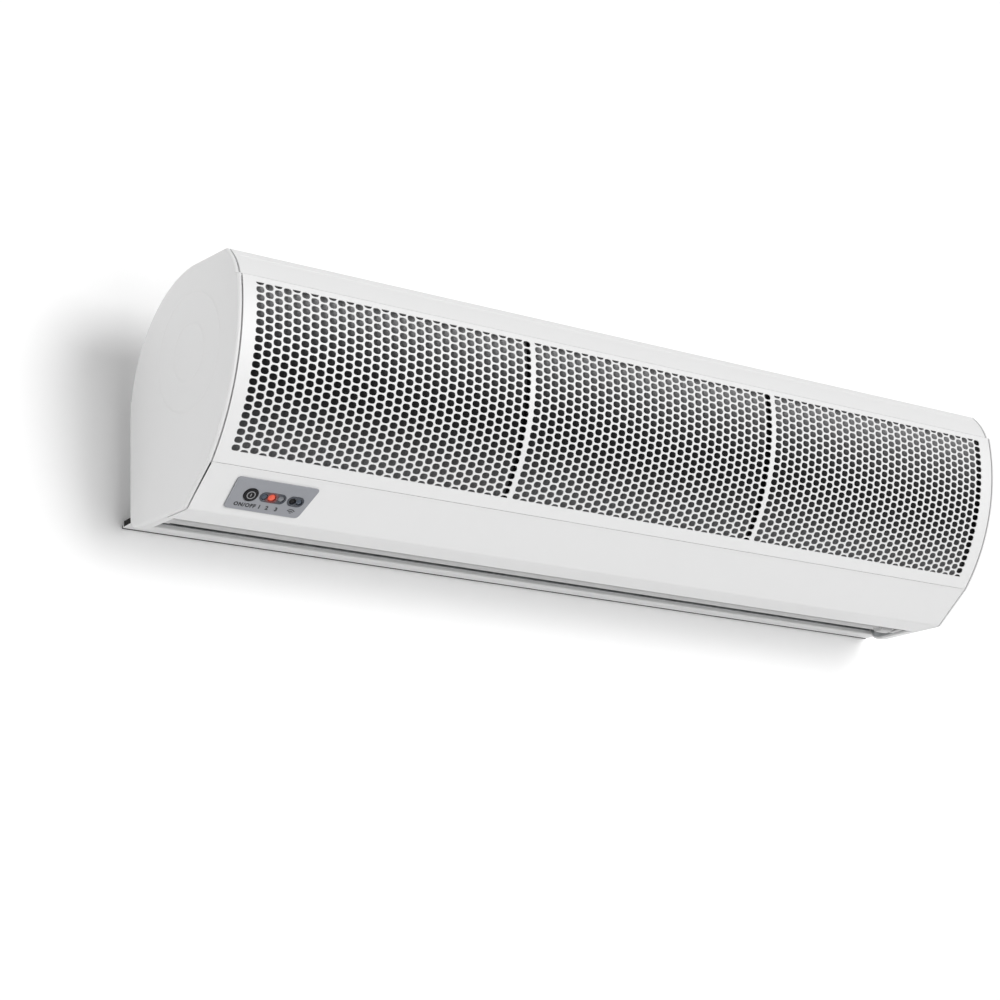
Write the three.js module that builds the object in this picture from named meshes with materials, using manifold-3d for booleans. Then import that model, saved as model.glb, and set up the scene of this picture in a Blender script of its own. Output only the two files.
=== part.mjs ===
import * as THREE from 'three';
import { mergeVertices } from 'three/addons/utils/BufferGeometryUtils.js';
import Module from 'manifold-3d';

// Wall-mounted air curtain, in millimetres. X runs along its length, Y points at the wall
// and Z is up. The origin is on the back of the wall bracket, half way along its length.

// Casing as a whole
const casingLength = 895;
const casingDepth = 203.9;
const skin = 1.6;
const fit = 0.3;
const wallGap = 17.2;

// Front: trim strip, curved grille and slanted lower panel, seen from the end
const grilleRadius = 185.3;
const grilleAxisHeight = 56.7;
const grilleTopHeight = 73.4;
const grilleBottomHeight = -73.3;
const topEdgeSetback = 19.9;
const topEdgeHeight = 103.2;
const topEdgeBevel = 4.4;
const trimReturn = 8;
const trimStep = 2.4;
const trimFoot = 1.8;
const trimCrown = 3.2;
const panelTopSetback = 54.4;
const panelTopHeight = -74;
const panelBottomSetback = 94.9;
const undersideFrontHeight = -103.2;
const undersideRearHeight = -98.5;
const panelCornerRadius = 2.5;
const lipDepth = 76;
const lipReturnHeight = 8;

// Rear: round top cover, flat back and its rounded lower corner
const rearArcRadius = 110.8;
const rearArcHeight = -3;
const rearCornerRadius = 14;
const coverEndHeight = -8;

// End caps
const capEdge = 3.6;
const capEdgeRounding = 2.2;
const capRimWidth = 10.6;
const capWall = 2;

// Grille holes: coarse staggered columns in three fields, between two dividers
const grilleMarginLeft = 17.9;
const grilleMarginRight = 20;
const dividerGap = 5.7;
const fieldCount = 3;
const holeColumns = 8;
const holeRows = 5;
const holeWidth = 28;
const holeHeight = 22;
const fieldTopAngle = 176;
const fieldBottomAngle = 220.7;

// Fan: one motor between two cross-flow impellers on a common axis
const scrollMouthRadius = 72;
const scrollBackGap = 5.8;
const fanDepth = wallGap + scrollMouthRadius + scrollBackGap;
const fanHeight = 5;
const bladeOuterRadius = 50;
const bladeInnerRadius = 41;
const bladeThickness = 1.5;
const bladeCount = 20;
const discRadius = 50.8;
const discThickness = 2;
const impellerStart = 60;
const impellerEndGap = 8.1;
const shaftRadius = 4;
const motorRadius = 44;
const motorHalfLength = 38;
const motorBossRadius = 18;
const motorBossLength = 12;
const motorPlateOffset = 46;
const plateThickness = 1.2;

// Air path round the impellers
const scrollTipRadius = 56.5;
const scrollShoulderDrop = 25;
const scrollTailGap = 3.5;
const scrollTipAngle = 100;
const tongueWallHeight = -62;
const tongueWallDepth = 84;
const tongueTipDepth = 110;
const tongueTipHeight = -50.5;
const tongueFold = 3;
const tongueReturn = 11;

// Outlet vane
const vanePivotDepth = 59;
const vanePivotHeight = -94;
const vaneChord = 31;
const vaneThickness = 1.8;
const vaneSpineRadius = 3.8;
const vaneEndGap = 1;
const pinRadius = 2;
const pinLength = 20;
const holderWidth = 6.6;

// Wall bracket and the hangers that hook over it
const bracketSetback = 67.5;
const bracketTop = 15;
const bracketBottom = -45;
const bracketShelf = 9;
const bracketLip = 9.2;
const hangerSetback = 197.5;
const hangerWidth = 40;
const backFlangeHeight = -92;
const backFlangeSetback = 2;

// Controls on the lower panel
const overlaySetback = 34.4;
const overlayLength = 80.1;
const overlayLean = 7.5;
const overlayTop = 8;
const overlayBottom = 41.3;
const overlayThickness = 0.8;
const buttonOffset = 19.1;
const controlRow = 24.5;
const buttonRadius = 6.7;
const buttonTravel = 1.2;
const ledWindowOffset = 28.1;
const ledWindowLength = 25;
const receiverWindowOffset = 55.1;
const receiverWindowLength = 15.5;
const windowHeight = 10;
const boardDepth = 8;

const wasm = await Module();
wasm.setup();

const airCurtain = new THREE.Group();

// ---------------------------------------------------------------- section drawing
const X_AXIS = new THREE.Vector3(1, 0, 0);
const Y_AXIS = new THREE.Vector3(0, 1, 0);
const Z_AXIS = new THREE.Vector3(0, 0, 1);
const sectionToLength = new THREE.Matrix4().makeBasis(Y_AXIS, Z_AXIS, X_AXIS);

function point(y, z) {
  return new THREE.Vector2(y, z);
}

function arc(centre, radius, fromDegrees, toDegrees, steps) {
  const points = [];
  for (let i = 0; i <= steps; i += 1) {
    const angle = THREE.MathUtils.degToRad(THREE.MathUtils.lerp(fromDegrees, toDegrees, i / steps));
    points.push(point(centre.x + radius * Math.cos(angle), centre.y + radius * Math.sin(angle)));
  }
  return points;
}

function leftOf(from, to) {
  const along = to.clone().sub(from).normalize();
  return point(-along.y, along.x);
}

// Moves a line sideways with mitred corners, to its left for a positive distance.
function offsetLine(line, distance, closed = false) {
  const last = line.length - 1;
  return line.map((here, i) => {
    const sides = [];
    if (i > 0 || closed) sides.push(leftOf(line[i > 0 ? i - 1 : last], here));
    if (i < last || closed) sides.push(leftOf(here, line[i < last ? i + 1 : 0]));
    const sum = sides.reduce((total, side) => total.add(side), point(0, 0));
    return here.clone().addScaledVector(sum, (distance * sides.length) / sum.lengthSq());
  });
}

function sheetOutline(line, thickness) {
  return [...line, ...offsetLine(line, thickness).reverse()];
}

function roundedCorner(before, corner, after, radius, steps) {
  const start = corner.clone().addScaledVector(before.clone().sub(corner).normalize(), radius);
  const end = corner.clone().addScaledVector(after.clone().sub(corner).normalize(), radius);
  return new THREE.QuadraticBezierCurve(start, corner, end).getPoints(steps);
}

// ---------------------------------------------------------------- solids
function bar(outline, xStart, xEnd) {
  const settings = { depth: xEnd - xStart, bevelEnabled: false };
  const geometry = new THREE.ExtrudeGeometry(new THREE.Shape(outline), settings);
  return geometry.applyMatrix4(sectionToLength).translate(xStart, 0, 0);
}

// Turns a closed profile of (radius, along) points round the fan's direction, X.
function turned(profile, depth, height, segments = 20) {
  const outline = THREE.ShapeUtils.isClockWise(profile) ? [...profile].reverse() : [...profile];
  const geometry = new THREE.LatheGeometry([...outline, outline[0]], segments);
  return geometry.rotateZ(-Math.PI / 2).translate(0, -depth, height);
}

function ringProfile(innerRadius, outerRadius, from, to) {
  return [
    point(innerRadius, from),
    point(outerRadius, from),
    point(outerRadius, to),
    point(innerRadius, to),
  ];
}

function discProfile(radius, from, to) {
  return ringProfile(0, radius, from, to);
}

function toSolid(geometry) {
  const plain = geometry.clone();
  plain.deleteAttribute('normal');
  plain.deleteAttribute('uv');
  const merged = mergeVertices(plain, 1e-4);
  const triVerts = [];
  const corners = merged.index.array;
  for (let i = 0; i < corners.length; i += 3) {
    const [a, b, c] = [corners[i], corners[i + 1], corners[i + 2]];
    if (a !== b && b !== c && c !== a) triVerts.push(a, b, c);
  }
  const vertProperties = Float32Array.from(merged.attributes.position.array);
  const surface = { numProp: 3, vertProperties, triVerts: Uint32Array.from(triVerts) };
  return new wasm.Manifold(new wasm.Mesh(surface));
}

function toGeometry(solid) {
  const mesh = solid.getMesh();
  const geometry = new THREE.BufferGeometry();
  geometry.setAttribute('position', new THREE.BufferAttribute(mesh.vertProperties, 3));
  geometry.setIndex(new THREE.BufferAttribute(mesh.triVerts, 1));
  return geometry;
}

function joined(...geometries) {
  return toGeometry(geometries.map(toSolid).reduce((total, solid) => total.add(solid)));
}

function cut(geometry, ...cutters) {
  const removed = cutters.map(toSolid);
  return toGeometry(removed.reduce((total, solid) => total.subtract(solid), toSolid(geometry)));
}

function block(xRange, yRange, zRange) {
  const size = [xRange, yRange, zRange].map(([low, high]) => high - low);
  const centre = [xRange, yRange, zRange].map(([low, high]) => (low + high) / 2);
  return new THREE.BoxGeometry(...size).translate(...centre);
}

function mirrored(geometry) {
  const copy = toGeometry(toSolid(geometry)).scale(-1, 1, 1);
  const corners = copy.index.array;
  for (let i = 0; i < corners.length; i += 3) {
    [corners[i], corners[i + 1]] = [corners[i + 1], corners[i]];
  }
  return copy;
}

function finish(color, roughness, metalness = 0) {
  return () => new THREE.MeshStandardMaterial({ color, roughness, metalness });
}

const whitePaint = finish(0xeceded, 0.45);
const whitePlastic = finish(0xe9eaea, 0.4);
const galvanised = finish(0xb9bcbe, 0.45, 0.8);
const darkSteel = finish(0x8c8f92, 0.35, 0.9);
const blackPlastic = finish(0x1d1e20, 0.5);
const greyOverlay = finish(0x8f959d, 0.4);
const rubber = finish(0x26262a, 0.85);
const smokedPlastic = finish(0x3a3e46, 0.15);
const boardGreen = finish(0x2f5b3c, 0.6);
const signalRed = finish(0xf2613f, 0.3);
const motorPaint = finish(0x55585c, 0.5, 0.4);
const bronze = finish(0x9a7442, 0.4, 0.8);

function place(name, geometry, material) {
  const mesh = new THREE.Mesh(toGeometry(toSolid(geometry)), material());
  mesh.name = name;
  airCurtain.add(mesh);
}

function placePair(leftName, rightName, rightGeometry, material) {
  place(leftName, mirrored(rightGeometry), material);
  place(rightName, rightGeometry, material);
}

// ---------------------------------------------------------------- casing section
const grilleAxis = point(grilleRadius - casingDepth, grilleAxisHeight);

function grilleAngle(height) {
  return 180 - THREE.MathUtils.radToDeg(Math.asin((height - grilleAxisHeight) / grilleRadius));
}

const grilleAngles = [grilleTopHeight, grilleBottomHeight].map(grilleAngle);
const grilleLine = arc(grilleAxis, grilleRadius, ...grilleAngles, 10);
const topEdge = point(topEdgeSetback - casingDepth, topEdgeHeight);
const trimFootPoint = point(grilleLine[0].x + trimStep, grilleTopHeight + trimFoot);
const bevelEnd = point(topEdge.x - topEdgeBevel * 0.9, topEdge.y - topEdgeBevel);
const trimMiddle = bevelEnd.clone().lerp(trimFootPoint, 0.5);
const trimBulge = trimMiddle.addScaledVector(leftOf(bevelEnd, trimFootPoint), -trimCrown);
const trimLine = new THREE.QuadraticBezierCurve(bevelEnd, trimBulge, trimFootPoint).getPoints(5);

const casingBack = -wallGap;
const rearArcCentre = point(casingBack - rearArcRadius, rearArcHeight);
const rearArc = arc(rearArcCentre, rearArcRadius, 0, 90, 12);
const topFront = rearArc[rearArc.length - 1];
const trimReturnPoint = topEdge.clone().add(topFront.clone().sub(topEdge).setLength(trimReturn));
const coverFront = topEdge.clone().add(topFront.clone().sub(topEdge).setLength(trimReturn + fit));

const panelTop = point(panelTopSetback - casingDepth, panelTopHeight);
const panelBottom = point(panelBottomSetback - casingDepth, undersideFrontHeight);
const rearCorner = point(casingBack, undersideRearHeight);
const underside = rearCorner.clone().sub(panelBottom);

function onUnderside(depth) {
  return panelBottom.clone().addScaledVector(underside, (panelBottom.x + depth) / -underside.x);
}

const lipEdge = onUnderside(lipDepth);
const frontCorner = roundedCorner(panelTop, panelBottom, lipEdge, panelCornerRadius, 3);
const backTop = rearArc[0];
const backCorner = roundedCorner(panelBottom, rearCorner, backTop, rearCornerRadius, 6);
const frontOutline = [topEdge, ...trimLine, ...grilleLine, panelTop, ...frontCorner];
const capOutline = [...frontOutline, ...backCorner, ...rearArc];

// ---------------------------------------------------------------- lengths along X
const capOuter = casingLength / 2;
const capInner = capOuter - capEdge;
const skinEnd = capInner - fit;
const capRimEnd = capOuter - capRimWidth;
const sidePlateOuter = capRimEnd - fit;
const sidePlateInner = sidePlateOuter - plateThickness;
const ductEnd = sidePlateInner - fit;

// ---------------------------------------------------------------- end caps
// A moulded cap: a flat end wall with a rounded edge, a spigot under the front and top
// skins, and a full-width rim along the underside and the back.
function capEndWall() {
  const levels = [0, 0.6, 1];
  const rings = levels.map((level) => {
    const inset = capEdgeRounding * (1 - Math.sqrt(1 - level * level));
    const outline = inset > 0 ? offsetLine(capOutline, inset, true) : capOutline;
    return outline.map((p) => new THREE.Vector3(capInner + capEdge * level, p.x, p.y));
  });
  const count = capOutline.length;
  const positions = rings.flat().flatMap((p) => [p.x, p.y, p.z]);
  const corners = [];
  for (let ring = 0; ring < rings.length - 1; ring += 1) {
    for (let i = 0; i < count; i += 1) {
      const a = ring * count + i;
      const b = ring * count + ((i + 1) % count);
      corners.push(a, b, b + count, a, b + count, a + count);
    }
  }
  const faces = THREE.ShapeUtils.triangulateShape(capOutline, []);
  const outerStart = (rings.length - 1) * count;
  faces.forEach(([a, b, c]) => corners.push(a, c, b, outerStart + a, outerStart + b, outerStart + c));
  const geometry = new THREE.BufferGeometry();
  geometry.setAttribute('position', new THREE.Float32BufferAttribute(positions, 3));
  geometry.setIndex(corners);
  return geometry;
}

function endCap() {
  const fuse = 0.1;
  const spigotOutline = offsetLine(capOutline, skin + fit, true);
  const spigotInside = offsetLine(capOutline, skin + fit + capWall, true);
  const spigot = cut(
    bar(spigotOutline, capRimEnd, capInner + fuse),
    bar(spigotInside, capRimEnd - 1, capInner),
  );
  const rimLine = [onUnderside(lipDepth - fit), ...backCorner, point(casingBack, coverEndHeight - fit)];
  const rim = bar(sheetOutline(rimLine, skin + fit + capWall), capRimEnd, capInner + fuse);
  return joined(capEndWall(), spigot, rim);
}

placePair('left_end_cap', 'right_end_cap', endCap(), whitePlastic);

// ---------------------------------------------------------------- skins between the caps
const trimSheet = [trimReturnPoint, topEdge, ...trimLine];
place('top_trim', bar(sheetOutline(trimSheet, skin), -skinEnd, skinEnd), whitePaint);

const grommetAngle = 40;
const grommetSetback = 67.5;
const grommetPlace = grommetSetback - capOuter;
const grommetNeck = 7;
const grommetFlange = 9.5;

// Lays a solid made round the Z axis onto the rear arc, pointing outwards.
function onRearArc(geometry, alongX) {
  const tilt = THREE.MathUtils.degToRad(grommetAngle);
  const spot = arc(rearArcCentre, rearArcRadius, grommetAngle, grommetAngle, 1)[0];
  return geometry.rotateX(tilt - Math.PI / 2).translate(alongX, spot.x, spot.y);
}

function upright(profile, segments) {
  const outline = THREE.ShapeUtils.isClockWise(profile) ? [...profile].reverse() : [...profile];
  return new THREE.LatheGeometry([...outline, outline[0]], segments).rotateX(Math.PI / 2);
}

const screwSetback = 107.5;
const innerScrewPlace = 120;
const outerScrewPlace = capOuter - screwSetback;
const screwPlaces = [-outerScrewPlace, -innerScrewPlace, innerScrewPlace, outerScrewPlace];
const screwHeight = 5;
const screwShankRadius = 1.7;
const screwHeadRadius = 3.4;
const screwHeadHeight = 2.2;
const screwLength = 4.6;
const backFace = casingBack + fit;
const backRear = backFace + plateThickness;

function screwHole(alongX) {
  const radius = screwShankRadius + fit;
  const hole = new THREE.CylinderGeometry(radius, radius, screwLength * 3, 12);
  return hole.translate(alongX, backFace, screwHeight);
}

const coverSheet = [point(casingBack, coverEndHeight), ...rearArc, coverFront];
const grommetCut = discProfile(grommetNeck + fit, -grommetFlange, grommetFlange);
const grommetHole = onRearArc(upright(grommetCut, 16), grommetPlace);
const topCover = cut(
  bar(sheetOutline(coverSheet, skin), -skinEnd, skinEnd),
  grommetHole,
  ...screwPlaces.map(screwHole),
);
place('top_cover', topCover, whitePaint);

const grommetSeat = 0.9;
const grommetCollar = 2;
const grommetBore = 4;
const grommetProfile = [
  point(grommetBore, -skin - grommetSeat - grommetCollar),
  point(grommetFlange, -skin - grommetSeat - grommetCollar),
  point(grommetFlange, -skin - grommetSeat),
  point(grommetNeck, -skin - grommetSeat),
  point(grommetNeck, fit),
  point(grommetFlange, fit),
  point(grommetFlange, fit + grommetCollar),
  point(grommetBore, fit + grommetCollar * 2),
];
place('cable_grommet', onRearArc(upright(grommetProfile, 16), grommetPlace), rubber);

// ---------------------------------------------------------------- front grille
const fieldStart = grilleMarginLeft - capOuter;
const fieldPitch = (casingLength - grilleMarginLeft - grilleMarginRight + dividerGap) / fieldCount;
const fieldWidth = fieldPitch - dividerGap;

function hexHole(alongX, angle) {
  const half = holeWidth / 2;
  const shoulder = holeWidth * 0.3;
  const rise = holeHeight / 2;
  const outline = [
    point(half, 0),
    point(shoulder, rise),
    point(-shoulder, rise),
    point(-half, 0),
    point(-shoulder, -rise),
    point(shoulder, -rise),
  ];
  const settings = { depth: skin * 6, bevelEnabled: false };
  const hole = new THREE.ExtrudeGeometry(new THREE.Shape(outline), settings);
  hole.translate(0, 0, grilleRadius - skin * 3).rotateX(Math.PI / 2);
  hole.rotateX(THREE.MathUtils.degToRad(angle - 180));
  return hole.translate(alongX, grilleAxis.x, grilleAxis.y);
}

function frontGrille() {
  const columnPitch = (fieldWidth - holeWidth) / (holeColumns - 1);
  const holeAngle = THREE.MathUtils.radToDeg(holeHeight / grilleRadius);
  const rowPitch = (fieldBottomAngle - fieldTopAngle - holeAngle) / (holeRows - 1);
  let grille = toSolid(bar(sheetOutline(grilleLine, skin), -skinEnd, skinEnd));
  for (let field = 0; field < fieldCount; field += 1) {
    for (let column = 0; column < holeColumns; column += 1) {
      const alongX = fieldStart + holeWidth / 2 + field * fieldPitch + column * columnPitch;
      const staggered = column % 2 === 1;
      const rows = staggered ? holeRows - 1 : holeRows;
      for (let row = 0; row < rows; row += 1) {
        const angle = fieldTopAngle + holeAngle / 2 + rowPitch * (row + (staggered ? 0.5 : 0));
        grille = grille.subtract(toSolid(hexHole(alongX, angle)));
      }
    }
  }
  return toGeometry(grille);
}

place('front_grille', frontGrille(), whitePaint);

const ribWidth = 4;
const ribDepth = 8;
const ribRadius = grilleRadius - skin - fit;

function dividerMiddle(divider) {
  return fieldStart + divider * fieldPitch - dividerGap / 2;
}

for (const [divider, name] of [[1, 'grille_rib_left'], [2, 'grille_rib_right']]) {
  const outer = arc(grilleAxis, ribRadius, fieldTopAngle, fieldBottomAngle, 10);
  const middle = dividerMiddle(divider);
  const rib = bar(sheetOutline(outer, ribDepth), middle - ribWidth / 2, middle + ribWidth / 2);
  place(name, rib, blackPlastic);
}

// Dust screens: one curved net behind each field, held by the ribs and the side plates
const screenSetback = 4;
const screenThickness = 1.2;
const screenLap = 1.5;
const screenLine = arc(
  grilleAxis,
  ribRadius - screenSetback,
  fieldTopAngle - screenLap,
  fieldBottomAngle + screenLap,
  10
);
['dust_screen_left', 'dust_screen_middle', 'dust_screen_right'].forEach((name, field) => {
  const ribSide = ribWidth / 2 + fit;
  const start = field === 0 ? -ductEnd : dividerMiddle(field) + ribSide;
  const end = field === fieldCount - 1 ? ductEnd : dividerMiddle(field + 1) - ribSide;
  place(name, bar(sheetOutline(screenLine, screenThickness), start, end), blackPlastic);
});

// ---------------------------------------------------------------- lower front panel
const overlayLeft = overlaySetback - capOuter;
const overlayRight = overlayLeft + overlayLength;
const buttonPlace = overlayLeft + buttonOffset;
const ledWindowLeft = overlayLeft + ledWindowOffset;
const ledWindowRight = ledWindowLeft + ledWindowLength;
const receiverWindowLeft = overlayLeft + receiverWindowOffset;
const receiverWindowRight = receiverWindowLeft + receiverWindowLength;

const panelSlope = panelBottom.clone().sub(panelTop).normalize();
const panelInward = leftOf(panelTop, panelBottom);

// Moves a solid drawn with x along the panel, y up its slope and z out of it onto the panel,
// with its y = 0 on the panel's top edge.
function onPanel(geometry) {
  const upSlope = new THREE.Vector3(0, -panelSlope.x, -panelSlope.y);
  const outward = new THREE.Vector3(0, -panelInward.x, -panelInward.y);
  const frame = new THREE.Matrix4().makeBasis(X_AXIS, upSlope, outward);
  return geometry.applyMatrix4(frame.setPosition(0, panelTop.x, panelTop.y));
}

function pillOutline(left, right, height) {
  const radius = height / 2;
  const start = arc(point(right - radius, -controlRow), radius, -90, 90, 8);
  return [...start, ...arc(point(left + radius, -controlRow), radius, 90, 270, 8)];
}

function circleOutline(alongX, downSlope, radius, steps) {
  return arc(point(alongX, -downSlope), radius, 0, 360, steps).slice(0, -1);
}

function panelPlate(outline, from, to) {
  const settings = { depth: to - from, bevelEnabled: false };
  const plate = new THREE.ExtrudeGeometry(new THREE.Shape(outline), settings);
  return onPanel(plate.translate(0, 0, from));
}

const controlHoles = [
  circleOutline(buttonPlace, controlRow, buttonRadius + fit, 20),
  pillOutline(ledWindowLeft - fit, ledWindowRight + fit, windowHeight + 2 * fit),
  pillOutline(receiverWindowLeft - fit, receiverWindowRight + fit, windowHeight + 2 * fit),
].map((outline) => panelPlate(outline, -skin * 2, skin * 2));

const panelSheet = [panelTop, ...frontCorner, lipEdge];
const lipTop = point(lipEdge.x, lipEdge.y + lipReturnHeight);
const lipStart = onUnderside(lipDepth + skin);
const lowerPanel = joined(
  bar(sheetOutline(panelSheet, skin), -skinEnd, skinEnd),
  bar(sheetOutline([lipStart, lipEdge, lipTop], skin), -ductEnd, ductEnd),
);
place('lower_front_panel', cut(lowerPanel, ...controlHoles), whitePaint);

// ---------------------------------------------------------------- controls
function overlayOutline() {
  const corners = [
    point(overlayLeft, -overlayTop),
    point(overlayLeft, -overlayBottom),
    point(overlayRight - overlayLean, -overlayBottom),
    point(overlayRight, -overlayTop),
  ];
  const cornerRadius = 4;
  return corners.flatMap((corner, i) => {
    const before = corners[(i + corners.length - 1) % corners.length];
    const after = corners[(i + 1) % corners.length];
    return roundedCorner(before, corner, after, cornerRadius, 4);
  });
}

const overlayFace = fit + overlayThickness;
place('control_overlay', cut(panelPlate(overlayOutline(), fit, overlayFace), ...controlHoles), greyOverlay);

const buttonProud = 0.7;
const buttonFlange = 1.4;
const switchTop = -boardDepth + 2.6;
const buttonFoot = switchTop + buttonTravel + 0.1;
const flangeTop = -skin - fit;
const buttonProfile = [
  point(0, buttonFoot),
  point(buttonRadius - 2, buttonFoot),
  point(buttonRadius - 2, flangeTop - 1),
  point(buttonRadius + buttonFlange, flangeTop - 1),
  point(buttonRadius + buttonFlange, flangeTop),
  point(buttonRadius, flangeTop),
  point(buttonRadius, overlayFace + buttonProud - 0.5),
  point(buttonRadius - 0.6, overlayFace + buttonProud),
  point(0, overlayFace + buttonProud),
];
const buttonBody = upright(buttonProfile, 24).translate(buttonPlace, -controlRow, 0);
place('power_button', onPanel(buttonBody), blackPlastic);

const windowInside = -skin;
const windowFace = overlayFace + 0.2;
const ledWindow = pillOutline(ledWindowLeft, ledWindowRight, windowHeight);
const receiverWindow = pillOutline(receiverWindowLeft, receiverWindowRight, windowHeight);
place('led_window', panelPlate(ledWindow, windowInside, windowFace), smokedPlastic);
place('receiver_window', panelPlate(receiverWindow, windowInside, windowFace), smokedPlastic);

const ledRadius = 2.4;
const ledPitch = 7.5;
const ledMiddle = (ledWindowLeft + ledWindowRight) / 2;
const ledPlaces = [ledMiddle - ledPitch, ledMiddle, ledMiddle + ledPitch];
const ledColours = [smokedPlastic, signalRed, smokedPlastic];
ledPlaces.forEach((alongX, i) => {
  const outline = circleOutline(alongX, controlRow, ledRadius, 12);
  place(`status_led_${i + 1}`, panelPlate(outline, fit - boardDepth, windowInside - fit), ledColours[i]);
});

const receiverMiddle = (receiverWindowLeft + receiverWindowRight) / 2;
const receiverBody = circleOutline(receiverMiddle, controlRow, 3, 12);
place('ir_receiver', panelPlate(receiverBody, fit - boardDepth, windowInside - fit), blackPlastic);

const switchBody = circleOutline(buttonPlace, controlRow, 3, 8);
place('tact_switch', panelPlate(switchBody, fit - boardDepth, switchTop), blackPlastic);

const housingWall = 1.5;
const housingInset = 7.1;
const housingLength = 70;
const housingLeft = overlayLeft + housingInset;
const housingRight = housingLeft + housingLength;
const housingTop = overlayTop + 1;
const housingBottom = overlayBottom - 1.3;
const boardThickness = 1.6;
const boardBack = -boardDepth - boardThickness;
const housingBack = boardBack - fit - housingWall;

function panelBlock(left, right, top, bottom, from, to) {
  return onPanel(block([left, right], [-bottom, -top], [from, to]));
}

const boardEdge = housingWall + fit;
const displayBoard = panelBlock(
  housingLeft + boardEdge,
  housingRight - boardEdge,
  housingTop + boardEdge,
  housingBottom - boardEdge,
  boardBack,
  -boardDepth,
);
place('display_board', displayBoard, boardGreen);

const boardHousing = cut(
  panelBlock(housingLeft, housingRight, housingTop, housingBottom, housingBack, flangeTop),
  panelBlock(
    housingLeft + housingWall,
    housingRight - housingWall,
    housingTop + housingWall,
    housingBottom - housingWall,
    housingBack + housingWall,
    flangeTop + 1,
  ),
);
place('board_housing', boardHousing, blackPlastic);

// ---------------------------------------------------------------- electrics behind the panel
const trayGap = 23;
const trayLength = 210;
const trayTop = 8;
const trayBottom = 40;
const trayLeft = overlayRight + trayGap;
const trayFace = flangeTop - plateThickness;
const electricsSeat = trayFace - fit;
const tray = panelBlock(trayLeft, trayLeft + trayLength, trayTop, trayBottom, trayFace, flangeTop);
place('electrics_tray', tray, galvanised);

function onTray(offset, length, width, height) {
  const left = trayLeft + offset;
  const top = (trayTop + trayBottom - width) / 2;
  return panelBlock(left, left + length, top, top + width, electricsSeat - height, electricsSeat);
}

const terminalOffset = 10;
const terminalLength = 50;
const terminalWidth = 20;
const terminalHeight = 12;
const terminals = onTray(terminalOffset, terminalLength, terminalWidth, terminalHeight);
place('terminal_block', terminals, blackPlastic);
const relayOffset = 75;
const relayLength = 60;
const relayWidth = 28;
const relayHeight = 10;
const relays = onTray(relayOffset, relayLength, relayWidth, relayHeight);
place('relay_board', relays, boardGreen);
const capacitorOffset = 150;
const capacitorLength = 48;
const capacitorWidth = 20;
const capacitorHeight = 14;
const capacitor = onTray(capacitorOffset, capacitorLength, capacitorWidth, capacitorHeight);
place('run_capacitor', capacitor, blackPlastic);

// ---------------------------------------------------------------- side plates with the bearings
const bushRadius = 15;
const bushFlange = 19;
const bearingRadius = 9;
const fanAxis = point(-fanDepth, fanHeight);
const sidePlateOutline = offsetLine(capOutline, skin + fit, true);
const bushSeat = turned(discProfile(bushRadius + fit, 0, casingLength), fanDepth, fanHeight);
const sidePlate = cut(bar(sidePlateOutline, sidePlateInner, sidePlateOuter), bushSeat);
placePair('left_side_plate', 'right_side_plate', sidePlate, galvanised);

const bearingProud = 3.4;
const bearingLength = 9;
const bushLip = 2.1;
const bearingEnd = sidePlateOuter + bearingProud;
const bearingStart = bearingEnd - bearingLength;
const bushStart = ductEnd - bushLip;
const bushProfile = [
  point(bearingRadius + fit, bushStart),
  point(bushFlange, bushStart),
  point(bushFlange, ductEnd),
  point(bushRadius, ductEnd),
  point(bushRadius, bearingEnd),
  point(bearingRadius + fit, bearingEnd),
];
placePair('left_bearing_bush', 'right_bearing_bush', turned(bushProfile, fanDepth, fanHeight, 20), rubber);
const bearingProfile = ringProfile(shaftRadius + fit, bearingRadius, bearingStart, bearingEnd);
placePair('left_bearing', 'right_bearing', turned(bearingProfile, fanDepth, fanHeight, 20), bronze);

// ---------------------------------------------------------------- scroll and tongue
function scrollLine() {
  const steps = 12;
  const line = [];
  const tailInner = casingBack - plateThickness;
  line.push(point(tailInner, backFlangeHeight + scrollTailGap));
  line.push(point(tailInner - fit, tongueWallHeight));
  line.push(point(-fanDepth + scrollMouthRadius + 0.4, fanHeight - scrollShoulderDrop));
  for (let i = 0; i <= steps; i += 1) {
    const share = i / steps;
    const radius = THREE.MathUtils.lerp(scrollMouthRadius, scrollTipRadius, share);
    line.push(arc(fanAxis, radius, scrollTipAngle * share, scrollTipAngle * share, 1)[0]);
  }
  return line;
}

const scrollInside = scrollLine();
place('rear_scroll', bar(sheetOutline(scrollInside, -plateThickness), -ductEnd, ductEnd), galvanised);

const tongueFoot = point(lipEdge.x - skin - fit, lipTop.y - 2);
const tongueBend = point(-tongueWallDepth, tongueWallHeight);
const tongueRoof = point(-tongueWallDepth - 6, tongueWallHeight + 6);
const tongueTip = point(-tongueTipDepth, tongueTipHeight);
const tongueNose = point(tongueTip.x - tongueFold, tongueTip.y - tongueFold);
const tongueEnd = point(tongueNose.x - tongueFold, tongueTip.y - tongueReturn);
const tongueLine = [tongueFoot, tongueBend, tongueRoof, tongueTip, tongueNose, tongueEnd];
place('front_duct_wall', bar(sheetOutline(tongueLine, plateThickness), -ductEnd, ductEnd), galvanised);

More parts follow.
